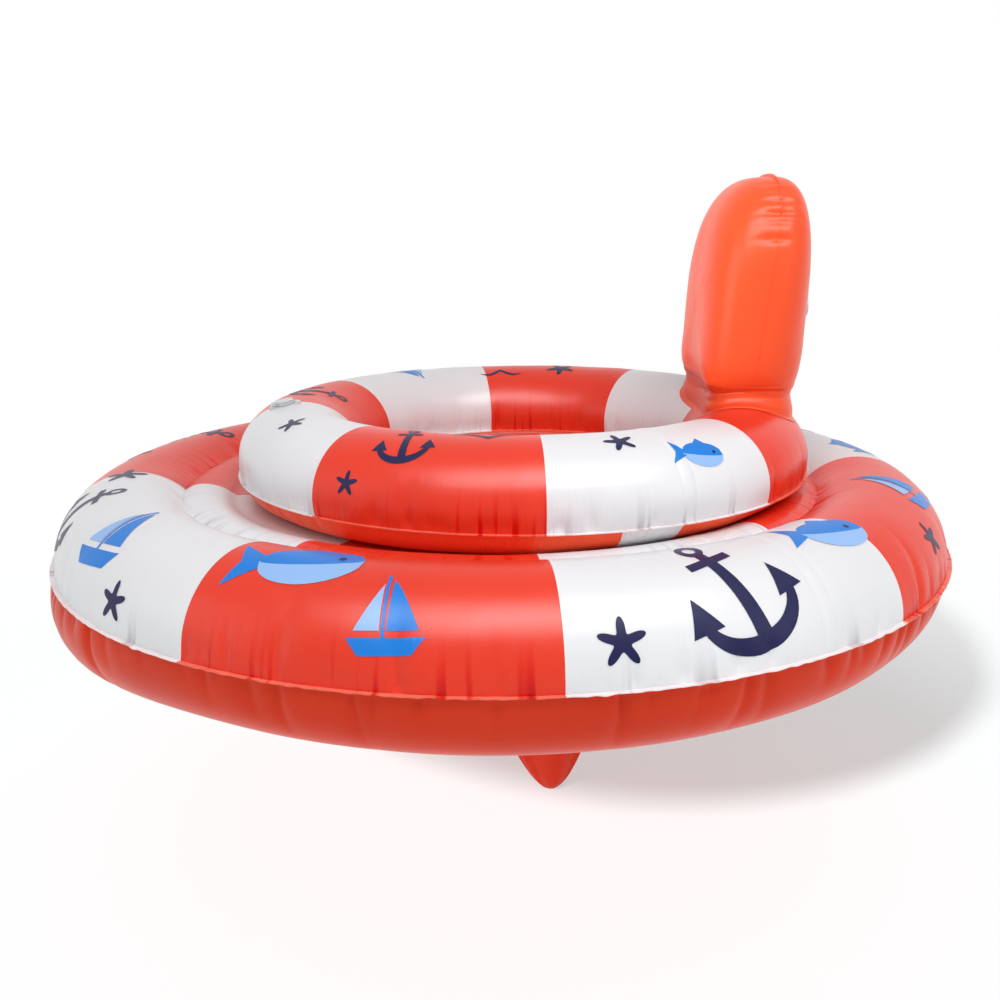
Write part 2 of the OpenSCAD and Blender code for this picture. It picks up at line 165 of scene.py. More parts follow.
# Stretch, weld that its puckers start from, radius, seed, spacing, and shares of the full depth and reach
FLOAT_PUCKERS = [
    ("outer_top", "from_end", FLOAT_R, 11, 0.020, 1.0, 1.0),
    ("outer_bottom", "from_start", FLOAT_R, 12, 0.017, 1.1, 1.0),
    ("outer_top", "from_start", WEB_R, 13, 0.024, 0.6, 0.5),
    ("inner_top", "from_end", WEB_R, 14, 0.024, 0.6, 0.4),
    ("inner_top", "from_start", HOLE_R, 15, 0.018, 0.7, 0.5),
    ("outer_bottom", "from_end", WEB_R, 16, 0.024, 0.6, 0.6),
    ("inner_bottom", "from_start", WEB_R, 17, 0.024, 0.6, 0.6),
    ("inner_bottom", "from_end", HOLE_R, 18, 0.018, 0.8, 0.6),
]
RING_PUCKERS = [
    ("top", "from_end", RING_OUT, 21, 0.017, 0.75, 0.7),
    ("top", "from_start", RING_IN, 22, 0.013, 0.7, 0.7),
    ("bottom", "from_start", RING_OUT, 23, 0.016, 0.6, 0.3),
    ("bottom", "from_end", RING_IN, 24, 0.013, 0.5, 0.3),
]
# Spacing, depth and reach of the backrest's puckers: round its crown, and the deeper ones at its shoulders
CROWN_PUCKERS, SHOULDER_PUCKERS = (0.013, 0.0019, 0.024), (0.0115, 0.0036, 0.017)
# Which of a tube's three materials a stretch has, if not the print
LOOK_OF = {"outer_lip": 1, "inner_lip": 1, "outer_bottom": 2, "inner_bottom": 2, "bottom": 2}
PRINTED = {"float": "outer_top", "ring": "top"}
INKS = ["navy", "blue", "pale"]

made = {}


# ---- User's sizes and colours ----

def number_prop(name, description, default, low=0.0, **more):
    return bpy.props.FloatProperty(name=name, description=description, default=default, min=low, **more)


def colour_prop(name, place, default):
    return bpy.props.FloatVectorProperty(name=name, description=f"Colour of the {place}", default=default, size=3,
                                         min=0.0, max=1.0, subtype="COLOR")


def length_prop(name, description, default):
    return number_prop(name, description, default, subtype="DISTANCE", unit="LENGTH")


class SwimSeatFilm(bpy.types.PropertyGroup):
    red: colour_prop("Red print", "red stripes", (0.80, 0.042, 0.016))
    white: colour_prop("White print", "white stripes", (0.80, 0.79, 0.81))
    orange: colour_prop("Orange film", "backrest", (0.87, 0.086, 0.023))
    # The underside's own orange film, set darker so that it also carries painted shade under the float.
    under: colour_prop("Underside film", "float's underside", (0.68, 0.044, 0.015))
    # The strip's own orange, set lighter than the film's so that it carries painted light on the ring's shaded
    # underside.
    strip: colour_prop("Base strip", "upper ring's underside", (0.96, 0.105, 0.040))
    seat: colour_prop("Seat film", "hanging seat", (0.74, 0.042, 0.014))
    lip_red: colour_prop("Weld lip on red", "weld lips along red stripes", (0.86, 0.17, 0.11))
    lip_white: colour_prop("Weld lip on white", "weld lips along white stripes", (0.87, 0.76, 0.77))
    navy: colour_prop("Navy ink", "dark printed motifs", (0.014, 0.014, 0.070))
    blue: colour_prop("Blue ink", "bright blue motifs", (0.014, 0.205, 0.680))
    pale: colour_prop("Pale blue ink", "pale blue motifs", (0.30, 0.50, 0.86))
    roughness: number_prop("Roughness", "Roughness of the inflated film", 0.30, max=1.0)
    pucker_depth: length_prop("Pucker depth", "Depth of the deepest puckers at a weld", 0.0034)
    pucker_reach: length_prop("Pucker reach", "Length of the longest puckers at a weld", 0.040)


class SwimSeatSeat(bpy.types.PropertyGroup):
    fold_depth: length_prop("Fold depth", "Depth of the loose folds in the hanging seat", 0.0032)
    film_thickness: length_prop("Film thickness", "Thickness of the seat film", 0.0005)
    rim_bead: length_prop("Rim bead", "Radius of the rolled edge of a leg hole", 0.0014)


class SwimSeatStage(bpy.types.PropertyGroup):
    floor: colour_prop("Floor", "floor", (0.845, 0.92, 0.925))
    lens: number_prop("Lens", "Focal length of the camera", CAMERA_LENS, 10.0, unit="CAMERA")


# ---- Paths and sections ----

def bezier(points, count=60):
    p = np.array(points, float)
    t = np.linspace(0.0, 1.0, count)[:, None]
    return ((1 - t) ** 3 * p[0] + 3 * t * (1 - t) ** 2 * p[1] + 3 * t * t * (1 - t) * p[2] + t ** 3 * p[3])


def arc(middle, half_w, half_h, start, end, count=120):
    a = np.radians(np.linspace(start, end, count))
    return np.stack([middle[0] + half_w * np.cos(a), middle[1] + half_h * np.sin(a)], -1)


def lengths_along(path):
    return np.concatenate([[0.0], np.cumsum(np.linalg.norm(np.diff(path, axis=0), axis=1))])


def places_along(path, marks):
    s = lengths_along(path)
    return np.stack([np.interp(marks, s, path[:, 0]), np.interp(marks, s, path[:, 1])], -1)


def resampled(path, coarse, fine, reach):
    """The path with its points a fine step apart near both ends and a coarse step between."""
    total = lengths_along(path)[-1]
    marks = [0.0]
    while marks[-1] < total:
        near = min(marks[-1], total - marks[-1])
        marks.append(marks[-1] + (fine if near < reach else coarse))
    return places_along(path, np.array(marks) * total / marks[-1])


def unit(vectors):
    return vectors / np.maximum(np.linalg.norm(vectors, axis=-1), 1e-12)[..., None]


def across(grid, axis, by=1):
    """From each place's neighbour before to its neighbour after, on a grid that closes on itself."""
    return np.roll(grid, -by, axis) - np.roll(grid, by, axis)


def sideways(steps):
    """Unit vectors square to steps in a plane, to their right."""
    return unit(np.stack([steps[:, 1], -steps[:, 0]], -1))


def even_turns(count):
    return np.arange(count) * tau / count


def wrapped(turn):
    """The turn brought to between half a turn back and half a turn on."""
    return (turn + pi) % tau - pi


class Section:
    """A closed section of a film tube, made of named stretches. Each knows its distance from its two welds."""

    def __init__(self):
        self.points, self.names, self.from_start, self.from_end = [], [], [], []

    def add(self, name, path, coarse=0.0042, fine=0.0022, reach=0.030):
        p = resampled(np.asarray(path, float), coarse, fine, reach)
        s = lengths_along(p)
        self.points.extend(p)
        self.names.extend([name] * len(p))
        self.from_start.extend(s)
        self.from_end.extend(s[-1] - s)

    def lip(self, name, start, end, level, step):
        self.add(name, [[start, level], [end, level]], step, step)

    def finish(self):
        for key in ("points", "names", "from_start", "from_end"):
            setattr(self, key, np.array(getattr(self, key)))
        self.s = lengths_along(np.vstack([self.points, self.points[:1]]))[:-1]
        self.normals = -sideways(across(self.points, 0))
        return self

    def reach_of(self, name):
        """Where a stretch starts and ends along the section."""
        s = self.s[self.names == name]
        return s[0], s[-1]


# ---- Relief of welded film ----

def puckers(theta, distance, radius, seed, spacing, depth, reach):
    """Creases that run from a weld into the film: narrow at the weld, fading and widening away from it."""
    rng = np.random.default_rng(seed)
    count = int(tau * radius / spacing)
    place = (np.arange(count) + rng.uniform(-0.42, 0.42, count)) * 2 * pi / count
    size = rng.uniform(0.15, 1.0, count) ** 1.6
    far = reach * (0.25 + 0.75 * rng.uniform(0, 1, count) * size ** 0.5)
    width = rng.uniform(0.0020, 0.0046, count)
    slant = rng.uniform(-0.12, 0.12, count)
    gap = wrapped(theta[:, None] - place[None, :])
    out = np.zeros((len(theta), len(distance)))
    for j in np.nonzero(distance < reach * 1.6)[0]:
        d = distance[j]
        x = (gap * radius - slant * d) / (width * (1 + 0.9 * d / far))
        fade = np.exp(-(d / far) ** 2 * 1.4) * (0.35 + 0.65 * min(1.0, d / 0.0035))
        out[:, j] = -(depth * size * fade * np.exp(-np.abs(x) ** 1.35)).sum(1)
    return out


def tube_relief(theta, section, seed, height, waves, table):
    """Slow unevenness of a tube's film, and the puckers of a table along its welds."""
    film = bpy.context.scene.swim_film
    out = waviness(theta, section.s, seed, height, waves)
    for name, weld, radius, seed, spacing, depth, reach in table:
        here = section.names == name
        out[:, here] += puckers(theta, getattr(section, weld)[here], radius, seed, spacing,
                                film.pucker_depth * depth, film.pucker_reach * reach)
    return out


def waviness(theta, s, seed, height, waves):
    """Slow unevenness of inflated film, as a sum of a few waves that close round the ring."""
    rng = np.random.default_rng(seed)
    out = np.zeros((len(theta), len(s)))
    span = s.max() or 1.0
    for _ in range(waves):
        round_n = rng.integers(3, 26)
        along_n = rng.integers(1, 5)
        a, b = rng.uniform(0, tau, 2)
        out += (np.sin(round_n * theta + a)[:, None] * np.sin(tau * along_n * s / span + b)[None, :]
                / (1 + 0.06 * round_n))
    return height * out / math.sqrt(waves)


def lap_seam(theta, at, radius, width=0.007, rise=0.00035):
    """Where the film's two ends overlap: a low step with a groove on each side."""
    past = np.abs(wrapped(theta - at) * radius) - width / 2
    band = 1 / (1 + np.exp(np.clip(past / 0.0006, -60, 60)))
    groove = np.exp(-((past - 0.001) / 0.0011) ** 2)
    return (rise * band - 0.8 * rise * groove)[:, None]


# ---- Meshes ----

def new_object(name, points, faces, looks=(), body="root", slot=None, kinds=None, smooth=True):
    """A mesh of the points that its faces use, on a body; the slot is not used. Kinds say which look each face has."""
    faces = [tuple(int(i) for i in f) for f in faces]
    used = sorted({i for f in faces for i in f})
    renumber = {i: k for k, i in enumerate(used)}
    mesh = bpy.data.meshes.new(name)
    mesh.from_pydata([tuple(points[i]) for i in used], [], [tuple(renumber[i] for i in f) for f in faces])
    mesh.validate()
    if smooth:
        mesh.shade_smooth()
    for look in looks:
        mesh.materials.append(look)
    if kinds is not None:
        mesh.polygons.foreach_set("material_index", np.array(kinds, np.int32))
    obj = bpy.data.objects.new(name, mesh)
    bpy.context.scene.collection.objects.link(obj)
    if body:
        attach(obj, body)
    return obj


def swept(rows, closed=True):
    """Points and faces of a band through rows of points, each of them a loop."""
    k, n = len(rows), len(rows[0])
    return np.array(rows).reshape(-1, 3), [
        (r * n + i, r * n + (i + 1) % n, (r + 1) % k * n + (i + 1) % n, (r + 1) % k * n + i)
        for r in range(k if closed else k - 1) for i in range(n)]


def grid_quads(m, n, columns):
    """Places and quads of a grid that closes on itself along its first side."""
    i, j = np.meshgrid(np.arange(m), np.arange(columns), indexing="ij")
    i2, j2 = (i + 1) % m, (j + 1) % n
    return i, j, np.stack([i * n + j, i2 * n + j, i2 * n + j2, i * n + j2], -1).reshape(-1, 4)


def valve_holes(*names):
    """Middle and axis of each valve's flange."""
    holes = []
    for name in names:
        low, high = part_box(f"{name}_valve_flange")
        joint = next(j for j in frame["record"]["behaviour"]["joints"] if j["name"] == f"{name}_stem_pull")
        holes.append((np.array((low + high) / 2), unit(np.array(joint["axis"], float))))
    return holes


def open_holes(points, corners, holes):
    """Which faces stay when those under the flanges go. The edge left behind is drawn onto each hole's rim."""
    keep = np.ones(len(corners), bool)
    for middle, axis in holes:
        d = points - middle
        up = d @ axis
        out = d - up[:, None] * axis
        r = np.linalg.norm(out, axis=1)
        inside = (r < VALVE_HOLE_R) & (np.abs(up) < VALVE_HOLE_DEPTH)
        keep &= ~inside[corners].all(1)
        edge = np.zeros(len(points), bool)
        edge[corners[keep].ravel()] = True
        edge &= inside
        points[edge] += out[edge] * ((VALVE_HOLE_R - r[edge]) / np.maximum(r[edge], 1e-6))[:, None]
    return keep


class Skin:
    """A lathed film tube with relief: its grid of points and normals, for the mesh and for what lies on it."""

    def __init__(self, section, centre, steps, relief=None, lift=None):
        self.section, self.centre, self.steps = section, centre, steps
        theta = even_turns(steps)
        c, sn = np.cos(theta)[:, None], np.sin(theta)[:, None]
        r, z = section.points.T[:, None, :]
        nr, nz = section.normals.T[:, None, :]
        bump = relief(theta, section) if relief else np.zeros((steps, len(section.s)))
        radius = r + nr * bump
        height = z + nz * bump
        if lift:
            height = height + lift(theta, section)
        self.grid = np.stack([centre[0] + radius * c, centre[1] + radius * sn, height + 0 * c], -1)
        n = unit(np.cross(across(self.grid, 0), across(self.grid, 1)))
        flat = np.stack([nr * c, nr * sn, nz + 0 * c], -1)
        self.normal = n * np.sign((n * flat).sum(-1))[..., None]

    def at(self, theta, s):
        """Point and normal on the skin at an angle and a length along the section."""
        i = (np.asarray(theta) % tau) * self.steps / tau
        j = np.interp(s, self.section.s, np.arange(len(self.section.s)))
        i0 = np.floor(i).astype(int) % self.steps
        i1 = (i0 + 1) % self.steps
        j0 = np.clip(np.floor(j).astype(int), 0, len(self.section.s) - 2)
        fi, fj = (i - np.floor(i))[:, None], (j - j0)[:, None]
        return tuple((1 - fi) * (1 - fj) * g[i0, j0] + fi * (1 - fj) * g[i1, j0]
                     + (1 - fi) * fj * g[i0, j0 + 1] + fi * fj * g[i1, j0 + 1] for g in (self.grid, self.normal))

    def object(self, name, looks=(), holes=()):
        """The closed mesh with angle and length as its UVs, and openings under the valves' flanges."""
        section = self.section
        m, n = self.grid.shape[:2]
        points = self.grid.reshape(-1, 3).copy()
        i, j, quads = grid_quads(m, n, n)
        total = section.s[-1] + np.linalg.norm(section.points[0] - section.points[-1])
        u0, u1 = i / m, (i + 1) / m
        v0, v1 = (section.s / total)[j], np.append(section.s[1:], total)[j] / total
        uv = np.stack([np.stack(corner, -1) for corner in ((u0, v0), (u1, v0), (u1, v1), (u0, v1))], -2)
        keep = open_holes(points, quads, holes)
        quads, uv = quads[keep], uv.reshape(-1, 4, 2)[keep]
        kinds = np.array([LOOK_OF.get(part, 0) for part in section.names])[j.reshape(-1)[keep]]
        a, b, c = points[quads[:, 0]], points[quads[:, 1]], points[quads[:, 2]]
        if (np.cross(b - a, c - a) * (a - points.mean(0))).sum() < 0:
            quads, uv = quads[:, ::-1], uv[:, ::-1]
        obj = new_object(name, points, quads, looks, kinds=kinds)
        near = np.minimum(section.from_start, section.from_end)[np.unique(quads) % n]
        weld = obj.data.attributes.new("weld", "FLOAT", "POINT")
        weld.data.foreach_set("value", np.exp(-near / WELD_FADE).astype(np.float32))
        layer = obj.data.uv_layers.new(name="skin")
        layer.data.foreach_set("uv", uv.reshape(-1).astype(np.float32))
        obj.data.set_sharp_from_angle(angle=SHARP)
        return obj


# ---- Camera rays ----

def photo_ray(point):
    """Start and direction of the ray through an image point."""
    camera = bpy.context.scene.camera
    data, half = camera.data, IMAGE_SIZE / 2
    local = Vector((point[0] - half, half - point[1], -IMAGE_SIZE * data.lens / data.sensor_width))
    return camera.matrix_world.translation.copy(), (camera.matrix_world.to_3x3() @ local).normalized()


def place_on(tree, point):
    """Where the ray through an image point meets a surface, or the place on it nearest the ray."""
    start, direction = photo_ray(point)
    hit = tree.ray_cast(start, direction)[0]
    if hit is not None:
        return hit
    probes = (start + direction * (PROBE_NEAR + PROBE_SPAN * k / PROBES) for k in range(PROBES))
    return min((tree.find_nearest(probe) for probe in probes), key=lambda found: found[3])[0]


def image_place(points):
    """Image x and y of points in the frame."""
    camera = bpy.context.scene.camera
    data, half = camera.data, IMAGE_SIZE / 2
    inverse = np.array(camera.matrix_world.inverted())
    p = np.asarray(points, float).reshape(-1, 3) @ inverse[:3, :3].T + inverse[:3, 3]
    scale = IMAGE_SIZE * data.lens / data.sensor_width / -p[:, 2]
    return np.stack([half + p[:, 0] * scale, half - p[:, 1] * scale], -1)


def turns_on(name, section, centre, *groups):
    """The turns at which groups of image points lie on a tube, found on a smooth guide that then goes."""
    guide = Skin(section, centre, GUIDE_STEPS).object(f"{name}_guide")
    tree = BVHTree.FromPolygons([v.co for v in guide.data.vertices], [p.vertices for p in guide.data.polygons])
    places = [[place_on(tree, point) for point in points] for points in groups]
    bpy.data.objects.remove(guide)
    return [[math.atan2(p.y - centre[1], p.x - centre[0]) % tau for p in found] for found in places]


# ---- Materials ----

class Nodes:
    """A short way to write the nodes of a material or a world."""

    def __init__(self, owner):
        owner.use_nodes = True
        self.owner, self.tree = owner, owner.node_tree

    def add(self, kind, **values):
        """A node with its inputs linked or set, and its other properties set."""
        node = self.tree.nodes.new(f"ShaderNode{kind}")
        for key, value in values.items():
            socket = node.inputs.get(key.replace("_", " "))
            if socket is not None:
                self.link(value, socket)
            else:
                setattr(node, key, value)
        return node

    def link(self, value, socket):
        if isinstance(value, bpy.types.NodeSocket):
            self.tree.links.new(value, socket)
        else:
            socket.default_value = value

    def filled(self, kind, *values, **settings):
        """The first output of a node whose first inputs are given in order."""
        node = self.add(kind, **settings)
        for value, socket in zip(values, node.inputs):
            self.link(value, socket)
        return node.outputs[0]

    def math(self, operation, a, b=0.0):
        return self.filled("Math", a, b, operation=operation)

    def noise(self, scale, detail=2.0, roughness=0.5, over=None):
        return self.add("TexNoise", Vector=over or self.coords, Scale=scale, Detail=detail,
                        Roughness=roughness).outputs[0]

    def ranged(self, value, low, high, start=0.0, end=1.0):
        """The range of a value from start to end, stretched to run from low to high."""
        return self.add("MapRange", Value=value, From_Min=start, From_Max=end, To_Min=low,
                        To_Max=high).outputs[0]

    def ramp(self, factor, stops, constant=False):
        node = self.add("ValToRGB")
        ramp = node.color_ramp
        ramp.interpolation = "CONSTANT" if constant else "LINEAR"
        while len(ramp.elements) > 1:
            ramp.elements.remove(ramp.elements[-1])
        ramp.elements[0].position = stops[0][0]
        ramp.elements[0].color = (*stops[0][1], 1)
        for place, colour in stops[1:]:
            ramp.elements.new(place).color = (*colour, 1)
        self.link(factor, node.inputs[0])
        return node.outputs[0]

    def skin_uv(self):
        return self.add("UVMap", uv_map="skin").outputs[0]

    def skin_turn(self):
        """The place round a tube, from 0 to 1."""
        return self.add("SeparateXYZ", Vector=self.skin_uv()).outputs[0]

    def crease_noise(self, factors, detail, roughness=0.5):
        """Noise drawn out along the section of a tube, as creases that leave its welds are."""
        uv = self.filled("VectorMath", self.skin_uv(), factors, operation="MULTIPLY")
        return self.noise(1.0, detail, roughness, uv)

    def near_weld(self):
        return self.add("Attribute", attribute_name="weld").outputs["Fac"]

    def direct_rays(self):
        """1 for the camera's rays and those in gloss and glass."""
        path = self.add("LightPath").outputs
        return self.math("MAXIMUM", path["Is Camera Ray"],
                         self.math("MAXIMUM", path["Is Glossy Ray"], path["Is Transmission Ray"]))


def new_look(name):
    """A new material's nodes, with its shader's inputs and output and the object's coordinates at hand."""
    nodes = Nodes(bpy.data.materials.new(f"look_{name}"))
    nodes.surface = nodes.tree.nodes["Principled BSDF"].outputs[0]
    nodes.shader = nodes.tree.nodes["Principled BSDF"].inputs
    nodes.coords = nodes.add("TexCoord").outputs["Object"]
    return nodes


def looks_of(*names):
    return [bpy.data.materials[f"look_{name}"] for name in names]


def film_finish(nodes, colour, roughness, strength=0.10, gloss=0.25, creased=False):
    """The finish of plasticised film: slight haze in the gloss, fine unevenness, and hair creases by the welds."""
    haze = nodes.noise(34.0, 3.0, 0.55)
    nodes.link(nodes.ranged(haze, roughness - 0.05, roughness + 0.07), nodes.shader["Roughness"])
    nodes.link(colour, nodes.shader["Base Color"])
    height = nodes.math("ADD", nodes.math("MULTIPLY", nodes.noise(900.0), 0.10), nodes.noise(60.0))
    if creased:
        crease = nodes.math("MULTIPLY", nodes.crease_noise((330.0, 9.0, 1.0), 3.0, 0.6), nodes.near_weld())
        height = nodes.math("ADD", height, nodes.math("MULTIPLY", crease, 22.0))
    bump = nodes.add("Bump", Strength=strength, Distance=0.0006, Height=height)
    nodes.link(bump.outputs[0], nodes.shader["Normal"])
    nodes.shader["Specular IOR Level"].default_value = gloss
    return nodes.owner


def striped(name, edges, red, white):
    """Printed film: red and white stripes that change at the given turns, with painted shade that darkens creases by
    the welds.
    """
    nodes = new_look(name)
    turns = sorted(edge % tau for edge in edges)
    pale = sum(turn < WHITE_TURN for turn in turns) % 2 == 0
    stops = [(0.0, white if pale else red)]
    for turn in turns:
        pale = not pale
        stops.append((turn / tau, white if pale else red))
    colour = nodes.ramp(nodes.skin_turn(), stops, constant=True)
    shade = nodes.ramp(nodes.noise(9.0), [(0.3, (0.93, 0.93, 0.93)), (0.7, (1.0, 1.0, 1.0))])
    tint = nodes.add("Mix", data_type="RGBA", blend_type="MULTIPLY", Factor=1.0)
    nodes.link(colour, tint.inputs[6])
    nodes.link(shade, tint.inputs[7])
    # Painted shade: the colour is darkened along stretched noise creases, most near the welds, to stand in for the
    # shade inside the creases.
    dark = nodes.ranged(nodes.crease_noise((230.0, 3.0, 1.0), 1.0), 1.5, 0.0, 0.30, 0.42)
    power = nodes.math("ADD", nodes.math("MULTIPLY", dark, nodes.math("POWER", nodes.near_weld(), 1.7)), 1.0)
    deep = nodes.add("Gamma", Color=tint.outputs[2], Gamma=power)
    return film_finish(nodes, deep.outputs[0], bpy.context.scene.swim_film.roughness, 0.12, 0.25, True)


def strip_film(name, tab):
    """The ring's orange underside, with the white lap of the printed film that reaches down over it at the front."""
    nodes, film = new_look(name), bpy.context.scene.swim_film
    start, end = sorted(turn / tau for turn in tab)
    # The strip's colour is lighter than its film's own orange: painted light where the ring's underside lies in shade.
    stops = [(0.0, film.strip), (start, film.white), (end, film.strip)]
    return film_finish(nodes, nodes.ramp(nodes.skin_turn(), stops, constant=True), film.roughness, 0.12, 0.12, True)


def plain_film(name, colour, roughness, spread=0.06, strength=0.10, gloss=0.15):
    """Film of one colour, a little deeper and lighter from place to place."""
    nodes = new_look(name)
    deep = [c * (1 - spread) for c in colour]
    pale = [min(1.0, c * (1 + spread)) for c in colour]
    cloud = nodes.ramp(nodes.noise(11.0, 3.0), [(0.3, deep), (0.7, pale)])
    return film_finish(nodes, cloud, roughness, strength, gloss)


def clear_vinyl():
    """Soft moulded vinyl of the valves: milky and a little see-through."""
    nodes = new_look("clear_vinyl")
    nodes.shader["Transmission Weight"].default_value = 0.35
    nodes.shader["IOR"].default_value = 1.45
    colour = nodes.ramp(nodes.noise(120.0), [(0.3, (0.74, 0.77, 0.79)), (0.7, (0.82, 0.84, 0.85))])
    return film_finish(nodes, colour, 0.28)


# ---- Float ----

def float_section():
    t, lobe_w = FILM, WEB_R - DECK_OUT
    throat = bezier([[HOLE_R, t], [HOLE_R - 0.003, DECK_Z / 2], [HOLE_R + 0.001, DECK_Z - 0.003], [DECK_IN, DECK_Z]])
    lobe = bezier([[DECK_OUT, DECK_Z], [DECK_OUT + 0.37 * lobe_w, DECK_Z + 0.012],
                   [WEB_R - 0.17 * lobe_w, DECK_Z + 0.011], [WEB_R, VALLEY_Z]])
    crest = arc((TUBE_MID, 0), TUBE_R, TUBE_R, math.degrees(math.acos(-WEB_IN / TUBE_R)),
                math.degrees(math.asin(t / TUBE_R)))
    keel = bezier([[HOLE_R, -t], [HOLE_R + 0.004, -0.050], [WEB_R - 0.013, -0.047], [WEB_R, -VALLEY_Z]])
    section = Section()
    section.lip("inner_lip", HOLE_R - LIP, HOLE_R, t, 0.002)
    section.add("inner_top", np.vstack([throat, lobe]))
    section.add("outer_top", crest)
    section.lip("outer_lip", FLOAT_R, FLOAT_R + LIP_SEEN, t, 0.0012)
    section.lip("outer_lip", FLOAT_R + LIP_SEEN, FLOAT_R, -t, 0.0012)
    section.add("outer_bottom", (crest * [1, -1])[::-1])
    section.add("inner_bottom", keel[::-1])
    section.lip("inner_lip", HOLE_R, HOLE_R - LIP, -t, 0.002)
    return section.finish()


def float_relief(theta, section):
    names = section.names
    out = tube_relief(theta, section, 3, 0.00035, 14, FLOAT_PUCKERS)
    out[:, (names == "outer_lip") | (names == "inner_lip")] *= 0.0
    belly = names == "outer_bottom"
    way = section.from_start[belly] / section.from_start[belly].max()
    round_left = np.exp(-((theta - BULGE_TURN) / BULGE_SPREAD) ** 2)
    out[:, belly] += BULGE * round_left[:, None] * (np.sin(pi * way ** 0.75) ** 1.2)[None, :]
    deck = (names == "inner_top") & (section.points[:, 1] > DECK_Z - 0.002) & (section.points[:, 0] < DECK_OUT)
    out[:, deck] = np.minimum(out[:, deck], 0.0) * 0.4
    out[:, (names == "outer_top") | (names == "inner_top")] += lap_seam(theta, made["float_lap"], FLOAT_R)
    return out


def lip_ripple(theta, section):
    """The free edge of a weld lip ripples up and down."""
    rng = np.random.default_rng(29)
    wave = sum(np.sin(n * theta + rng.uniform(0, 6.28)) / 8 for n in (37, 61, 83, 127, 149, 171, 203, 239))
    edge = np.zeros(len(section.s))
    for name, weld in (("outer_lip", FLOAT_R), ("inner_lip", HOLE_R)):
        here = section.names == name
        edge[here] = np.clip(np.abs(section.points[here, 0] - weld) / LIP_SEEN, 0, 1)
    return 0.0007 * wave[:, None] * edge[None, :]


def tube_looks(name, edges):
    """A tube's print, and the lighter one of its weld lips."""
    film = bpy.context.scene.swim_film
    return [striped(f"{name}_print", edges, film.red, film.white),
            striped(f"{name}_lip", edges, film.lip_red, film.lip_white)]


def build_float():
    section, centre = float_section(), (0.0, 0.0)
    turns, (made["float_lap"],) = turns_on("float", section, centre, FLOAT_STRIPES, [FLOAT_LAP])
    made["float_edges"] = turns
    back_left, back_right = turns[2], turns[4] - tau
    gap = (back_left - back_right) / 4
    hidden = [back_left - gap, (back_left + back_right) / 2, back_left - 3 * gap]
    skin = made["float"] = Skin(section, centre, FLOAT_STEPS, float_relief, lip_ripple)
    obj = skin.object("float_skin", tube_looks("float", turns + hidden) + looks_of("under_film"),
                      valve_holes("outer", "inner"))
    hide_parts("base_top_film", "base_bottom_film")


# ---- Upper ring ----

def ring_section():
    t, seam = FILM, RING_SEAM
    seam_turn = math.degrees(math.asin((RING_LEVEL - seam - t) / RING_HALF_H))
    flat_out, flat_in = RING_MID + 0.013, RING_MID - 0.018
    skirt_out = bezier([[RING_OUT, seam - t], [RING_OUT - 0.005, seam - 0.005],
                        [flat_out + 0.010, RING_FOOT + 0.005], [flat_out, RING_FOOT]])
    skirt_in = bezier([[flat_in, RING_FOOT], [flat_in - 0.009, RING_FOOT + 0.001],
                       [RING_IN + 0.001, seam - 0.008], [RING_IN, seam - t]])
    section = Section()
    section.lip("inner_lip", RING_IN - LIP, RING_IN, seam + t, 0.002)
    section.add("top", arc((RING_MID, RING_LEVEL), RING_HALF_W, RING_HALF_H, 180 + seam_turn, -seam_turn))
    section.lip("outer_lip", RING_OUT, RING_OUT + LIP / 2, seam + t, 0.001)
    section.lip("outer_lip", RING_OUT + LIP / 2, RING_OUT, seam - t, 0.001)
    section.add("bottom", np.vstack([skirt_out, skirt_in]), 0.004, 0.0022, 0.024)
    section.lip("inner_lip", RING_IN, RING_IN - LIP, seam - t, 0.002)
    return section.finish()


def ring_relief(theta, section):
    out = tube_relief(theta, section, 5, 0.0003, 12, RING_PUCKERS)
    top, bottom = section.names == "top", section.names == "bottom"
    out[:, top] += lap_seam(theta, made["ring_lap"], RING_OUT)
    out[:, ~(top | bottom)] = 0.0
    way = np.clip(section.from_start[bottom] / SKIRT_WIDE, 0, 1)
    out[:, bottom] += SKIRT_FULL * (np.clip(1 - np.cos(theta), 0, 1)[:, None] * np.sin(pi * way ** 0.8)[None, :])
    out[:, bottom & (section.points[:, 1] < RING_FOOT + 0.001)] = 0.0
    return out


def build_ring():
    section, centre = ring_section(), (RING_X, 0.0)
    turns, (made["ring_lap"],), tab = turns_on("ring", section, centre, RING_STRIPES, [RING_LAP], RING_TAB)
    made["ring_edges"] = turns
    behind_backrest = (turns[-1] + turns[-2] - tau) / 2 % tau
    edges = []
    for turn in sorted([*turns, behind_backrest]):
        if not edges or turn - edges[-1] > SAME_EDGE:
            edges.append(turn)
    skin = made["ring"] = Skin(section, centre, RING_STEPS, ring_relief)
    obj = skin.object("ring_skin", [*tube_looks("ring", edges), strip_film("ring_strip", tab)], valve_holes("ring"))
    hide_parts("upper_ring_top_film", "upper_ring_bottom_film")


# ---- Backrest ----

def stood(x, y, z):
    """A point of the flat backrest, leant back and curved so that its foot follows the ring."""
    sag = RING_MID - np.sqrt(RING_MID ** 2 - y ** 2)
    share = 1 - BACK_CURVE * z / BACK_H
    x = BACK_SEAM + (x - BACK_SEAM) * (1 - 0.07 * np.exp(-(z / 0.030) ** 2))
    return np.stack([BACK_X + x - sag * share + z * BACK_LEAN, y + 0 * x, FOOT_Z + z + 0 * x], -1)


def power(v, e):
    return np.sign(v) * np.abs(v) ** e


def back_outline(u):
    e = 2 / np.where(np.sin(u) > 0, CROWN_ROUND, FOOT_ROUND)
    high = np.where(np.sin(u) > 0, BACK_H - BACK_BELLY, BACK_BELLY)
    return BACK_W / 2 * power(np.cos(u), e), high * power(np.sin(u), e)


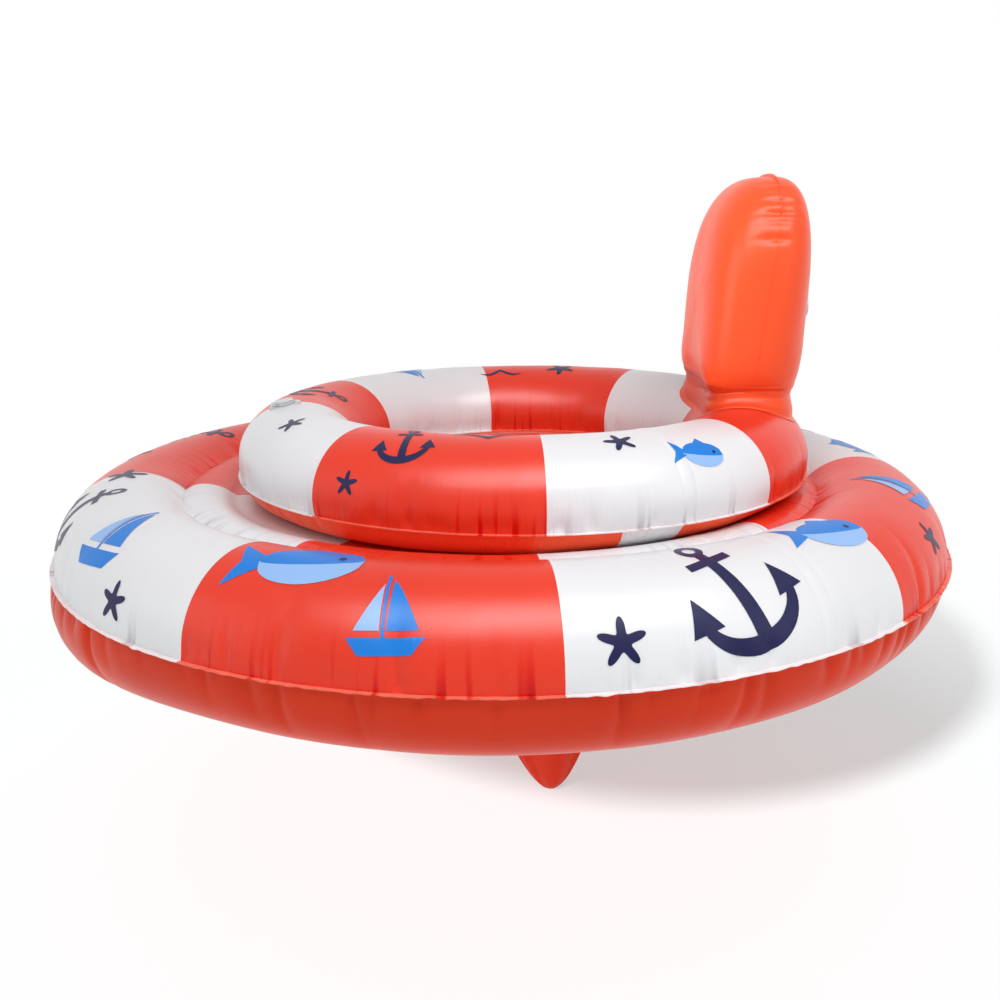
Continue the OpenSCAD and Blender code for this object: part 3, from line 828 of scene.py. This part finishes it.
def back_dome(outline, dents, depth, side, seed):
    """One film of the backrest, in rows from its middle to its weld."""
    u, oy, oz, turn, radius = outline
    q = np.where(np.sin(u) > 0, CROWN_ROUND, FOOT_ROUND + (CROWN_ROUND - FOOT_ROUND) * np.cos(u) ** 2)
    share = np.sin(np.linspace(0.0, pi / 2, BACK_ROWS + 1)[1:])
    share[-1] = 1.0
    rows = np.array([np.stack([BACK_SEAM + side * (FILM + depth * np.clip(1 - s ** q, 0, 1) ** (1 / q)),
                               oy * s, BACK_BELLY + oz * s], -1) for s in share])
    d = np.linalg.norm(np.diff(rows, axis=0), axis=-1)
    away = np.concatenate([np.cumsum(d[::-1], axis=0)[::-1], np.zeros((1, len(u)))]).mean(1)
    crown = 0.04 + 0.66 / (1 + np.exp(-(np.sin(u) - 0.35) * 9))
    shoulder = np.clip(np.sin(u), 0, 1) * np.exp(-((np.abs(np.cos(u)) - 0.78) / 0.24) ** 2)
    relief = puckers(turn, away, radius, seed, *CROWN_PUCKERS).T * crown[None, :]
    relief += puckers(turn, away, radius, seed + 3, *SHOULDER_PUCKERS).T * shoulder[None, :]
    relief += waviness(turn, away, seed + 7, 0.00010, 8).T * np.clip(away / 0.01, 0, 1)[:, None]
    relief[-1] = 0.0
    relief -= dents[None, :] * np.exp(-(away / DENT_REACH) ** 2)[:, None]
    n = unit(np.cross(across(rows, 1), np.gradient(rows, axis=0)))
    n *= np.sign((n * (rows - [BACK_SEAM, 0.0, BACK_BELLY])).sum(-1))[..., None]
    return rows + n * relief[..., None]


def build_backrest():
    n = BACK_AROUND
    u = even_turns(n)
    oy, oz = back_outline(u)
    edge = np.stack([oy, oz], -1)
    run = lengths_along(np.vstack([edge, edge[:1]]))
    turn, radius = run[:-1] / run[-1] * tau, run[-1] / tau
    dents = np.zeros(n)
    for degrees, deep in SHOULDER_DENTS:
        for at in (degrees, 180 - degrees):
            dents += deep * np.exp(-((turn - turn[int(round(at / 360 * n))]) * radius / DENT_WIDTH) ** 2)
    outline = u, oy, oz, turn, radius
    front = back_dome(outline, dents, BACK_FRONT, -1, 41)
    rear = back_dome(outline, dents, BACK_REAR, 1, 43)
    lip = 0.0002 + 0.0016 * np.clip(np.sin(u), 0, 1) ** 9
    rng = np.random.default_rng(47)
    ripple = sum(np.sin(k * turn + rng.uniform(0, 6.28)) for k in (17, 29, 43, 61)) * 0.00004
    scale = 1 + (lip - dents) / np.hypot(oy, oz)
    lips = [np.stack([BACK_SEAM + x + ripple, oy * scale, BACK_BELLY + oz * scale], -1) for x in (-FILM, FILM)]
    rings = [*front, *lips, *rear[::-1]]
    flat = np.vstack([[BACK_SEAM - BACK_FRONT, 0, BACK_BELLY], *rings, [BACK_SEAM + BACK_REAR, 0, BACK_BELLY]])
    points = stood(*flat.T)
    last, start = len(flat) - 1, len(flat) - 1 - n
    faces = [(0, 1 + i, 1 + (i + 1) % n) for i in range(n)]
    faces += [(a + i, a + n + i, a + n + (i + 1) % n, a + (i + 1) % n) for a in range(1, start, n) for i in range(n)]
    faces += [(last, start + (i + 1) % n, start + i) for i in range(n)]
    keep = open_holes(points, np.array([(*f, f[0])[:4] for f in faces]), valve_holes("back"))
    obj = new_object("backrest_skin", points, [f for f, stays in zip(faces, keep) if stays],
                     looks_of("orange_film"), "backrest", "orange_film")
    obj.data.set_sharp_from_angle(angle=SHARP)
    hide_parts("backrest_front_film", "backrest_rear_film")


def over_ring(plan, gap):
    """Points seen from above, lifted to a gap over the upper ring's film."""
    r = np.clip(np.abs(np.hypot(plan[:, 0] - RING_X, plan[:, 1]) - RING_MID) / RING_HALF_W, 0, 0.985)
    return RING_LEVEL + RING_HALF_H * np.sqrt(1 - r ** 2) + gap


def back_loop(height, count):
    """Level section of the flat backrest at a height below its belly, evenly spaced, with outward normals."""
    share = 1 - height / BACK_BELLY
    wide = BACK_W / 2 * (1 - share ** FOOT_ROUND) ** (1 / FOOT_ROUND)
    y = wide * np.sin(np.linspace(-pi / 2, pi / 2, 181))
    s = np.clip((np.abs(y / (BACK_W / 2)) ** FOOT_ROUND + share ** FOOT_ROUND) ** (1 / FOOT_ROUND), 0, 1)
    q = FOOT_ROUND + (CROWN_ROUND - FOOT_ROUND) * (np.abs(y) / (BACK_W / 2) / s) ** FOOT_ROUND
    rise = (1 - s ** q) ** (1 / q)
    loop = np.concatenate([np.stack([BACK_SEAM - BACK_FRONT * rise, y], -1)[:-1],
                           np.stack([BACK_SEAM + BACK_REAR * rise, y], -1)[:0:-1]])
    loop = np.vstack([loop, loop[:1]])
    loop = places_along(loop, np.arange(count) * lengths_along(loop)[-1] / count)
    out = sideways(across(loop, 0, 2))
    return loop, out * np.sign((out * (loop - loop.mean(0))).sum())


def build_boot():
    """The loose film at the backrest's foot: it pulls in under the foot and is welded down on the ring's crest."""
    loop, out = back_loop(BOOT_H, BOOT_AROUND)
    rng = np.random.default_rng(53)
    turn = even_turns(BOOT_AROUND)
    top = stood(loop[:, 0], loop[:, 1], np.full(BOOT_AROUND, BOOT_H))[:, :2]
    way = np.arctan2(top[:, 1], top[:, 0] - RING_X)
    off = np.hypot(top[:, 0] - RING_X, top[:, 1]) - RING_MID
    inner = RING_MID + off / (1 + (np.abs(off) / BOOT_REACH) ** 8) ** 0.125
    low = np.stack([RING_X + inner * np.cos(way), inner * np.sin(way)], -1)
    for _ in range(6):
        low = (np.roll(low, 1, 0) + 2 * low + np.roll(low, -1, 0)) / 4
    folds = [(rng.uniform(0.2, 0.7), rng.uniform(0, 6.28), rng.integers(1, 4), rng.uniform(0.5, 1.0)) for _ in range(7)]
    rows = []
    for f in np.arange(BOOT_ROWS + 1) / BOOT_ROWS:
        turned = f * f * (3 - 2 * f)
        crease = sum(BOOT_CREASE * a * np.exp(-((f - m - 0.08 * np.sin(w * turn + b)) / 0.050) ** 2)
                     * (0.5 + 0.5 * np.sin(w * turn * 2 + b * 1.7)) for m, b, w, a in folds) * sin(pi * f)
        waist = BOOT_WAIST * sin(pi * min(1.0, f * 1.15)) ** 2
        plan = top * (1 - turned) + low * turned + out * (0.0002 + waist + crease)[:, None]
        rows.append(np.column_stack([plan, (FOOT_Z + BOOT_H) * (1 - f) + over_ring(plan, BOOT_GAP) * f]))
    for k in (1, 2, 3):
        plan = low + out * (0.0009 * k)
        rows.append(np.column_stack([plan, over_ring(plan, BOOT_GAP) - 0.00012 * k]))
    obj = new_object("backrest_foot_film", *swept(rows, False), looks_of("orange_film"), None, "orange_film")
    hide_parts("backrest_weld_strip")
    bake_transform(obj)


# ---- Seat ----

POUCH_PATH = bezier(POUCH_CORNERS, 400)


def pouch_radius(h):
    return np.interp(h, POUCH_PATH[:, 1], POUCH_PATH[:, 0])


def pouch_point(angle, h, out=0.0):
    """A point of the seat film at a direction and a height above the tip, moved outwards."""
    slope = (pouch_radius(np.minimum(h + 0.001, POUCH_H)) - pouch_radius(np.maximum(h - 0.001, 0))) / 0.002
    length = np.sqrt(1 + slope ** 2)
    middle = RING_X + TIP_SHIFT * (1 - h / POUCH_H)
    reach = pouch_radius(h) + out / length
    return np.stack([middle + reach * np.cos(angle), reach * np.sin(angle), POUCH_TIP + h - out * slope / length], -1)


def leg_measure(angle, h, side):
    """Where a place lies from a leg hole's middle, sideways, upwards and in all: 1 is at the hole's edge."""
    p = wrapped(angle - (pi + side * LEG_TURN)) / (LEG_HALF_W / pouch_radius(LEG_Z))
    q = (h - LEG_Z) / LEG_HALF_H
    return p, q, np.hypot(p, q)


def seat_folds(angle, h):
    """Loose folds of the unloaded seat: none at the hem, the rims and the tip."""
    rng = np.random.default_rng(61)
    f = h / POUCH_H
    out = 0 * angle
    for _ in range(9):
        n = rng.integers(5, 17)
        phase, twist = rng.uniform(0, 6.28), rng.uniform(-2.5, 2.5)
        out = out + np.sin(n * angle + phase + twist * f) / (1 + 0.05 * n)
    out *= np.clip((1 - f) / 0.25, 0, 1) * np.clip(f / 0.22, 0, 1) / 3
    for side in (-1, 1):
        out *= np.clip((leg_measure(angle, h, side)[2] - 1.12) / 0.35, 0, 1)
    return bpy.context.scene.swim_seat.fold_depth * out


def build_seat():
    s = lengths_along(POUCH_PATH)
    heights = np.interp(np.linspace(0.0, s[-1], SEAT_ROWS)[1:], s, POUCH_PATH[:, 1])
    a, h = np.meshgrid(even_turns(SEAT_AROUND), heights, indexing="ij")
    for side in (-1, 1):
        p, q, e = leg_measure(a, h, side)
        near = (e > LEG_SNAP) & (e < 1.0)
        scale = np.where(near, 1.0 / np.maximum(e, 1e-6), 1.0)
        a = np.where(near, pi + side * LEG_TURN + p * scale * (LEG_HALF_W / pouch_radius(LEG_Z)), a)
        h = np.where(near, LEG_Z + q * scale * LEG_HALF_H, h)
    m, n = a.shape
    inside = np.minimum(leg_measure(a, h, -1)[2], leg_measure(a, h, 1)[2]).ravel() < LEG_CUT
    a, h = a.ravel(), h.ravel()
    points = np.vstack([pouch_point(a, h, seat_folds(a, h)), [RING_X + TIP_SHIFT, 0.0, POUCH_TIP]])
    quads = grid_quads(m, n, n - 1)[2]
    faces = [*quads[~inside[quads].any(1)], *((m * n, (k + 1) % m * n, k * n) for k in range(m))]
    obj = new_object("seat_film", points, faces, looks_of("seat_film"), "root", "seat_film")
    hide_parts("seat_pouch")
    thicken(obj, bpy.context.scene.swim_seat.film_thickness)
    rims = [build_leg_rim(1, "left"), build_leg_rim(-1, "right")]
    hem = build_hem()


def thicken(obj, thickness):
    """Gives a film its thickness, inwards."""
    modifier = obj.modifiers.new("thickness", "SOLIDIFY")
    modifier.thickness, modifier.offset = thickness, -1.0
    mesh = bpy.data.meshes.new_from_object(obj.evaluated_get(bpy.context.evaluated_depsgraph_get()))
    obj.modifiers.clear()
    old, obj.data = obj.data, mesh
    bpy.data.meshes.remove(old)


def build_leg_rim(side, name):
    """The welded band round a leg hole, with its rolled edge."""
    f = even_turns(RIM_AROUND)
    bead, half_t = bpy.context.scene.swim_seat.rim_bead, RIM_HALF_T
    places = [(-0.0002 + bead * cos(t), bead * sin(t) * 0.9) for t in np.linspace(pi * 0.5, pi * 1.5, 9)]
    places += [(0.0010, -half_t), (RIM_W - 0.001, -half_t), (RIM_W, -0.0004), (RIM_W, 0.0004),
               (RIM_W - 0.001, half_t), (0.0035, half_t), (0.0020, 0.0010)]
    rows = [pouch_point(pi + side * LEG_TURN + (LEG_HALF_W + grow) / pouch_radius(LEG_Z) * np.cos(f),
                        LEG_Z + (LEG_HALF_H + grow) * np.sin(f), out) for grow, out in places]
    obj = new_object(f"leg_rim_band_{name}", *swept(rows), looks_of("rim_film"), "root", "seat_film")
    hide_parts(f"leg_rim_{name}")
    return obj


def build_hem():
    """The skirt at the ring's inner weld from which the seat hangs."""
    hem_r, high, low = (HEM_HIGH.y - HEM_LOW.y) / 2, HEM_HIGH.z, HEM_LOW.z
    f = even_turns(HEM_AROUND)
    ripple = 0.0005 * np.sin(31 * f) + 0.0004 * np.sin(47 * f + 1)
    outline = [(hem_r, high, 0), (hem_r, high - FILM, 0), (POUCH_R + 0.0007, high - 0.0012, 0),
               (POUCH_R + 0.0010, low + 0.003, 0.5), (POUCH_R + 0.0010, low, 1), (POUCH_R + 0.0004, low, 1),
               (POUCH_R + 0.0004, low + 0.003, 0.5), (POUCH_R + 0.0002, high, 0)]
    rows = [np.stack([RING_X + (r + ripple * w) * np.cos(f), (r + ripple * w) * np.sin(f), z + 0 * f], -1)
            for r, z, w in outline]
    obj = new_object("seat_hem_band", *swept(rows), looks_of("rim_film"), "root", "seat_film")
    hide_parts("seat_hem")
    return obj


# ---- Prints: each motif is a list of inks, with their polygons and the holes in them ----

def circle(x, y, r, n=28):
    return [(x + r * cos(t), y + r * sin(t)) for t in even_turns(n)]


def box(x0, y0, x1, y1):
    return [(x0, y0), (x1, y0), (x1, y1), (x0, y1)]


def between(x, high, low):
    """The outline between two curves over the same places."""
    return [*zip(x, high), *zip(x[::-1], low[::-1])]


def anchor():
    """An anchor one unit high: its parts and the hole in its ring."""
    outer = [(0.40 * sin(a), -0.12 - 0.38 * cos(a)) for a in np.radians(np.linspace(-78, 78, 25))]
    inner = [(0.34 * sin(a), -0.10 - 0.27 * cos(a)) for a in np.radians(np.linspace(70, -70, 25))]
    return [("navy", [
        [(-0.045, 0.34), (0.045, 0.34), (0.06, -0.42), (-0.06, -0.42)], box(-0.20, 0.20, 0.20, 0.27),
        circle(0, 0.42, 0.105), outer + inner,
        [(-0.47, -0.22), (-0.36, 0.03), (-0.24, -0.22)], [(0.47, -0.22), (0.24, -0.22), (0.36, 0.03)],
    ], [circle(0, 0.42, 0.05)])]


def sailboat():
    """A small sailing boat one unit high: hull, mast and two sails."""
    hull = [(-0.42, -0.30), (0.46, -0.30), (0.30, -0.50), (-0.28, -0.50)]
    main = [(0.03, -0.22)] + [(0.03 + 0.36 * sin(a), -0.22 + 0.68 * (1 - sin(a) ** 1.4))
                              for a in np.radians(np.linspace(90, 4, 12))]
    jib = [(-0.05, -0.22), (-0.05, 0.38), (-0.34, -0.22)]
    return [("blue", [hull, box(-0.03, -0.31, 0.01, 0.52), main], []), ("pale", [jib], [])]


def starfish():
    """A five-armed starfish one unit across."""
    a = np.radians(np.arange(0, 360, 4) + 90)
    arms = np.cos(5 * (a - pi / 2))
    r = 0.29 + 0.21 * arms * (0.75 + 0.25 * arms)
    return [("navy", [[(ri * cos(t), ri * sin(t)) for ri, t in zip(r, a)]], [])]


def fish():
    """A plump little fish one unit long: blue back, pale belly and a dark eye."""
    x = np.linspace(-0.28, 0.5, 30)
    body = 0.25 * np.sqrt(np.clip(1 - ((x - 0.11) / 0.39) ** 2, 0, 1)) ** 0.9
    tail = [(-0.22, 0.05), (-0.5, 0.24), (-0.42, 0.0), (-0.5, -0.24), (-0.22, -0.05)]
    fin = [(-0.02, 0.22), (0.10, 0.36), (0.24, 0.22)]
    return [("blue", [between(x, body, -0.15 * body), tail, fin], []),
            ("pale", [between(x, -0.15 * body, -body)], []), ("navy", [circle(0.33, 0.045, 0.03, 14)], [])]


def gull():
    """A gull in flight, one unit across."""
    t = np.linspace(-1, 1, 41)
    line = 0.20 * np.sin(np.abs(t) * 2.4) - 0.02
    thick = 0.055 * (1 - np.abs(t)) ** 0.7 + 0.005
    return [("navy", [between(t / 2, line + thick, line - thick)], [])]


# Motif, turn in degrees, share of the way over the tube from its inner weld, size and tilt in degrees
LAYOUTS = {"float": [
    (anchor, 294, 0.60, 0.078, 16), (fish, 312, 0.42, 0.060, -14), (starfish, 281, 0.80, 0.026, 0),
    (fish, 247, 0.42, 0.074, 12), (sailboat, 259, 0.66, 0.044, 4),
    (anchor, 199, 0.62, 0.066, -16), (sailboat, 217, 0.52, 0.054, 8), (starfish, 190, 0.36, 0.030, 10),
    (starfish, 226, 0.84, 0.024, 0), (starfish, 172, 0.55, 0.034, 0), (anchor, 156, 0.45, 0.062, 12),
    (sailboat, 128, 0.55, 0.050, -6), (fish, 112, 0.60, 0.058, 4), (starfish, 99, 0.70, 0.028, 0),
    (starfish, 74, 0.40, 0.034, 0), (anchor, 58, 0.62, 0.062, -8), (gull, 40, 0.40, 0.052, 6),
    (sailboat, 24, 0.50, 0.050, 8), (fish, 8, 0.46, 0.054, 0), (sailboat, 342, 0.44, 0.054, -12),
    (starfish, 331, 0.74, 0.024, 0), (starfish, 352, 0.76, 0.028, 0),
], "ring": [
    (gull, 262, 0.52, 0.044, 6), (anchor, 246, 0.60, 0.040, 12), (starfish, 288, 0.60, 0.020, 10),
    (fish, 302, 0.72, 0.036, -12), (starfish, 212, 0.62, 0.020, 0), (starfish, 238, 0.84, 0.016, 0),
    (anchor, 170, 0.46, 0.044, 8), (sailboat, 124, 0.50, 0.038, 0), (gull, 96, 0.40, 0.036, 0),
    (starfish, 76, 0.44, 0.024, 0), (sailboat, 28, 0.72, 0.038, 6),
]}


def within(polygons, x, y):
    """Whether a point lies in any of some polygons."""
    for polygon in polygons:
        inside = False
        for (x1, y1), (x2, y2) in zip(polygon, polygon[1:] + polygon[:1]):
            if (y1 > y) != (y2 > y) and x < (x2 - x1) * (y - y1) / (y2 - y1) + x1:
                inside = not inside
        if inside:
            return True
    return False


def motif_mesh(polygons, holes, size):
    """Points and triangles of one ink of a motif, fine enough to follow the film's relief."""
    flat, loops, edges = [], [], []
    for polygon in polygons:
        first = len(flat)
        for p, q in zip(polygon, polygon[1:] + polygon[:1]):
            parts = max(1, int(math.hypot(q[0] - p[0], q[1] - p[1]) * size / INK_EDGE))
            flat += [(p[0] + (q[0] - p[0]) * t / parts, p[1] + (q[1] - p[1]) * t / parts) for t in range(parts)]
        loops.append(list(range(first, len(flat))))
    for hole in holes:
        edges += [(len(flat) + k, len(flat) + (k + 1) % len(hole)) for k in range(len(hole))]
        flat += hole
    step = INK_GRID / size
    columns, rows = (np.arange(a + step / 2, b, step) for a, b in zip(np.min(flat, 0), np.max(flat, 0)))
    flat += [(x, y) for x in columns for y in rows if within(polygons, x, y)]
    result = delaunay_2d_cdt([Vector(p) for p in flat], edges, loops, 1, 1e-5)
    points = np.array([tuple(v) for v in result[0]])
    middles = ((t, points[list(t)].mean(0)) for t in result[2])
    return points, [t for t, mid in middles if within(polygons, *mid) and not within(holes, *mid)]


def build_prints(name):
    """Printed motifs as thin sheets that follow the film."""
    skin = made[name]
    start, end = skin.section.reach_of(PRINTED[name])
    points, faces, inks = [], [], []
    for motif, turn, share, size, tilt in LAYOUTS[name]:
        base, s0 = radians(turn), start + (end - start) * share
        radius = math.hypot(*(skin.at([base], [s0])[0][0][:2] - np.array(skin.centre)))
        c, sn = cos(radians(tilt)), sin(radians(tilt))
        for level, (ink, polygons, holes) in enumerate(motif()):
            flat, triangles = motif_mesh(polygons, holes, size)
            x = (flat[:, 0] * c - flat[:, 1] * sn) * size
            y = (flat[:, 0] * sn + flat[:, 1] * c) * size
            place, normal = skin.at(base + x / radius, s0 - y)
            faces += [[len(points) + i for i in t] for t in triangles]
            inks += [INKS.index(ink)] * len(triangles)
            points.extend(place + normal * (PRINT_RISE + INK_RISE * level))
    points, faces = np.array(points), np.array(faces)
    a, b, c = (points[faces[:, k]] for k in range(3))
    wrong = (np.cross(b - a, c - a) * (a - np.array([*skin.centre, -1.0]))).sum(1) < 0
    faces[wrong] = faces[wrong][:, ::-1]
    new_object(f"{name}_motifs", points, faces, looks_of(*(f"{ink}_ink" for ink in INKS)), "root", "printed_film", inks)


# ---- Studio ----

# Name, place, aim, width, height and watts
LAMPS = [
    ("overhead", (0.10, -0.68, 1.06), (0.0, -0.08, 0.0), 1.45, 0.60, 11.4),
    ("shine", (0.10, -0.68, 1.06), (0.0, -0.08, 0.0), 1.45, 0.60, 38.0),
    ("front_right", (1.5, -1.1, 0.7), (0.0, 0.0, 0.0), 1.0, 1.0, 6.0),
    ("left", (-1.5, -0.6, 0.6), (0.0, 0.0, 0.05), 1.0, 1.0, 3.5),
    ("backrest_fill", (-1.1, -0.5, 0.5), (0.16, 0.0, 0.17), 1.0, 1.0, 11.0),
]
SUN_WAY, SUN_STRENGTH, SUN_ANGLE = Vector((0.47, 0.82, -0.55)), 5.4, radians(5)
EVEN_LIGHT = 0.26
FLOOR_HALF, FLOOR_GAP = 12.0, 0.0006


def floor_paper(colour):
    """White paper: it takes the shadow under the object, and is the plain white background further out."""
    nodes = new_look("floor_paper")
    nodes.link(nodes.ramp(nodes.noise(2.0), [(0.3, [c * 0.995 for c in colour]), (0.7, colour)]),
               nodes.shader["Base Color"])
    nodes.shader["Roughness"].default_value = 0.9
    nodes.shader["Specular IOR Level"].default_value = 0.0
    far = nodes.add("VectorMath", operation="LENGTH", Vector=nodes.coords).outputs["Value"]
    share = nodes.math("MULTIPLY", nodes.ranged(far, 0.52, 1.0, 0.45, 0.95), nodes.direct_rays())
    mix = nodes.filled("MixShader", share, nodes.surface, nodes.add("Emission").outputs[0])
    nodes.link(mix, nodes.tree.nodes["Material Output"].inputs["Surface"])
    return nodes.owner


def light_world(scene):
    """Even grey light for the object; the camera, gloss and glass see the white studio."""
    scene.world = bpy.data.worlds.new("studio")
    nodes = Nodes(scene.world)
    nodes.tree.nodes.clear()
    even, white = (nodes.filled("Background", (1.0, 1.0, 1.0, 1.0), strength)
                   for strength in (EVEN_LIGHT, 1.0))
    nodes.link(nodes.filled("MixShader", nodes.direct_rays(), even, white),
               nodes.add("OutputWorld").inputs[0])


def linked_to(name, obj, state):
    """A collection that lets a light reach only, or all but, one object."""
    group = bpy.data.collections.new(name)
    group.objects.link(obj)
    group.collection_objects[0].light_linking.link_state = state
    return group


def place_light(name, kind, place, way, reaches, **settings):
    light = bpy.data.lights.new(name, kind)
    for key, value in settings.items():
        setattr(light, key, value)
    obj = bpy.data.objects.new(name, light)
    obj.location = place
    obj.rotation_euler = way.to_track_quat("-Z", "Y").to_euler()
    bpy.context.scene.collection.objects.link(obj)
    obj.light_linking.receiver_collection = reaches
    return obj


def build_studio(scene):
    half, z = FLOOR_HALF, POUCH_TIP - FLOOR_GAP
    floor = new_object("floor", [(x, y, z) for x, y in box(-half, -half, half, half)], [(0, 1, 2, 3)],
                       [floor_paper(tuple(scene.swim_stage.floor))], None, smooth=False)
    light_world(scene)
    on_object = linked_to("lit_by_studio", floor, "EXCLUDE")
    on_floor = linked_to("lit_by_floor_light", floor, "INCLUDE")
    on_backrest = linked_to("lit_by_backrest_fill", bpy.data.objects["backrest_skin"], "INCLUDE")
    for name, place, aim, width, height, watts in LAMPS:
        lamp = place_light(name, "AREA", place, Vector(aim) - Vector(place),
                           on_backrest if name == "backrest_fill" else on_object,
                           shape="RECTANGLE", size=width, size_y=height, energy=watts)
        lamp.visible_diffuse = name != "shine"
    place_light("floor_light", "SUN", (0, 0, 2), SUN_WAY, on_floor, energy=SUN_STRENGTH, angle=SUN_ANGLE)
    scene.view_settings.view_transform = "Standard"


# ---- Operators ----

class SWIMSEAT_OT_camera(bpy.types.Operator):
    """Sets the camera at the photograph's viewing angle"""
    bl_idname = "swimseat.camera"
    bl_label = "Camera"

    def execute(self, context):
        data = bpy.data.cameras.new("camera")
        data.sensor_fit = "AUTO"
        data.sensor_width = SENSOR
        data.lens = context.scene.swim_stage.lens
        camera = bpy.data.objects.new("camera", data)
        context.scene.collection.objects.link(camera)
        turn = (CAMERA_AIM - CAMERA_PLACE).to_track_quat("-Z", "Y") @ Quaternion((0, 0, 1), CAMERA_ROLL)
        camera.matrix_world = Matrix.Translation(CAMERA_PLACE) @ turn.to_matrix().to_4x4()
        context.scene.camera = camera
        context.view_layer.update()
        return {"FINISHED"}


class SWIMSEAT_OT_materials(bpy.types.Operator):
    """Makes the films, inks and vinyl, and gives the valves their vinyl"""
    bl_idname = "swimseat.materials"
    bl_label = "Films, Inks and Valves"

    def execute(self, context):
        film = context.scene.swim_film
        plain_film("orange_film", film.orange, film.roughness, 0.05, 0.10, 0.13)
        # The underside's film is darker than the orange film: its own colour with painted shade under the float.
        plain_film("under_film", film.under, film.roughness, 0.06, 0.10, 0.06)
        plain_film("seat_film", film.seat, 0.42, 0.10, 0.16, 0.06)
        plain_film("rim_film", [c * 0.92 for c in film.seat], 0.36)
        for ink in INKS:
            plain_film(f"{ink}_ink", getattr(film, ink), film.roughness + 0.02, 0.04)
        vinyl = clear_vinyl()
        for node in frame["nodes"].values():
            node.data.materials.clear()
            node.data.materials.append(vinyl)
        return {"FINISHED"}


class SWIMSEAT_OT_float(bpy.types.Operator):
    """Builds the skin of the two-tube float"""
    bl_idname = "swimseat.float"
    bl_label = "Float"

    def execute(self, context):
        build_float()
        return {"FINISHED"}


class SWIMSEAT_OT_ring(bpy.types.Operator):
    """Builds the skin of the upper ring"""
    bl_idname = "swimseat.ring"
    bl_label = "Upper Ring"

    def execute(self, context):
        build_ring()
        return {"FINISHED"}


class SWIMSEAT_OT_backrest(bpy.types.Operator):
    """Builds the backrest's skin and the loose film at its foot"""
    bl_idname = "swimseat.backrest"
    bl_label = "Backrest"

    def execute(self, context):
        build_backrest()
        build_boot()
        return {"FINISHED"}


class SWIMSEAT_OT_seat(bpy.types.Operator):
    """Builds the hanging seat film, its hem and the rims of the leg holes"""
    bl_idname = "swimseat.seat"
    bl_label = "Seat"

    def execute(self, context):
        build_seat()
        return {"FINISHED"}


class SWIMSEAT_OT_prints(bpy.types.Operator):
    """Prints the seaside motifs on the float and the ring"""
    bl_idname = "swimseat.prints"
    bl_label = "Prints"

    def execute(self, context):
        for name in LAYOUTS:
            build_prints(name)
        return {"FINISHED"}


class SWIMSEAT_OT_stage(bpy.types.Operator):
    """Lays the floor and sets the studio's light"""
    bl_idname = "swimseat.stage"
    bl_label = "Stage"

    def execute(self, context):
        build_studio(context.scene)
        return {"FINISHED"}


STEPS = [
    SWIMSEAT_OT_camera, SWIMSEAT_OT_materials, SWIMSEAT_OT_float, SWIMSEAT_OT_ring, SWIMSEAT_OT_backrest,
    SWIMSEAT_OT_seat, SWIMSEAT_OT_prints, SWIMSEAT_OT_stage,
]
SETTINGS = {"swim_film": SwimSeatFilm, "swim_seat": SwimSeatSeat, "swim_stage": SwimSeatStage}


class SWIMSEAT_PT_panel(bpy.types.Panel):
    """Lists the settings, and the pieces in the order in which they are built"""
    bl_idname = "SWIMSEAT_PT_panel"
    bl_label = "Swim Seat"
    bl_space_type = "VIEW_3D"
    bl_region_type = "UI"
    bl_category = "Swim Seat"

    def draw(self, context):
        for name in SETTINGS:
            settings = getattr(context.scene, name)
            group = self.layout.box()
            for key in settings.__annotations__:
                group.prop(settings, key)
        for step in STEPS:
            self.layout.operator(step.bl_idname)


CLASSES = [*SETTINGS.values(), *STEPS, SWIMSEAT_PT_panel]


def register():
    for cls in CLASSES:
        bpy.utils.register_class(cls)
    for name, cls in SETTINGS.items():
        setattr(bpy.types.Scene, name, bpy.props.PointerProperty(type=cls))


def unregister():
    for name in SETTINGS:
        delattr(bpy.types.Scene, name)
    for cls in reversed(CLASSES):
        bpy.utils.unregister_class(cls)


# ---- What shows at the image points ----

def off_from(point, candidates):
    """How far in x and y the nearest of some places shows from an image point."""
    d = candidates - np.array(point, float)
    k = int(np.argmin((d ** 2).sum(1)))
    return [round(float(d[k][0]), 1), round(float(d[k][1]), 1)]


def write_points():
    for name, points in (("float", FLOAT_STRIPES), ("ring", RING_STRIPES)):
        skin = made[name]
        s = np.linspace(*skin.section.reach_of(PRINTED[name]), 400)
        for k, (turn, point) in enumerate(zip(made[f"{name}_edges"], points)):
            off_from(point, image_place(skin.at(np.full(400, turn), s)[0]))


def main():
    register()
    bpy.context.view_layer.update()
    for step in STEPS:
        group, name = step.bl_idname.split(".")
        getattr(getattr(bpy.ops, group), name)()
    bpy.context.view_layer.update()
    write_points()


if __name__ == "__main__":
    main()
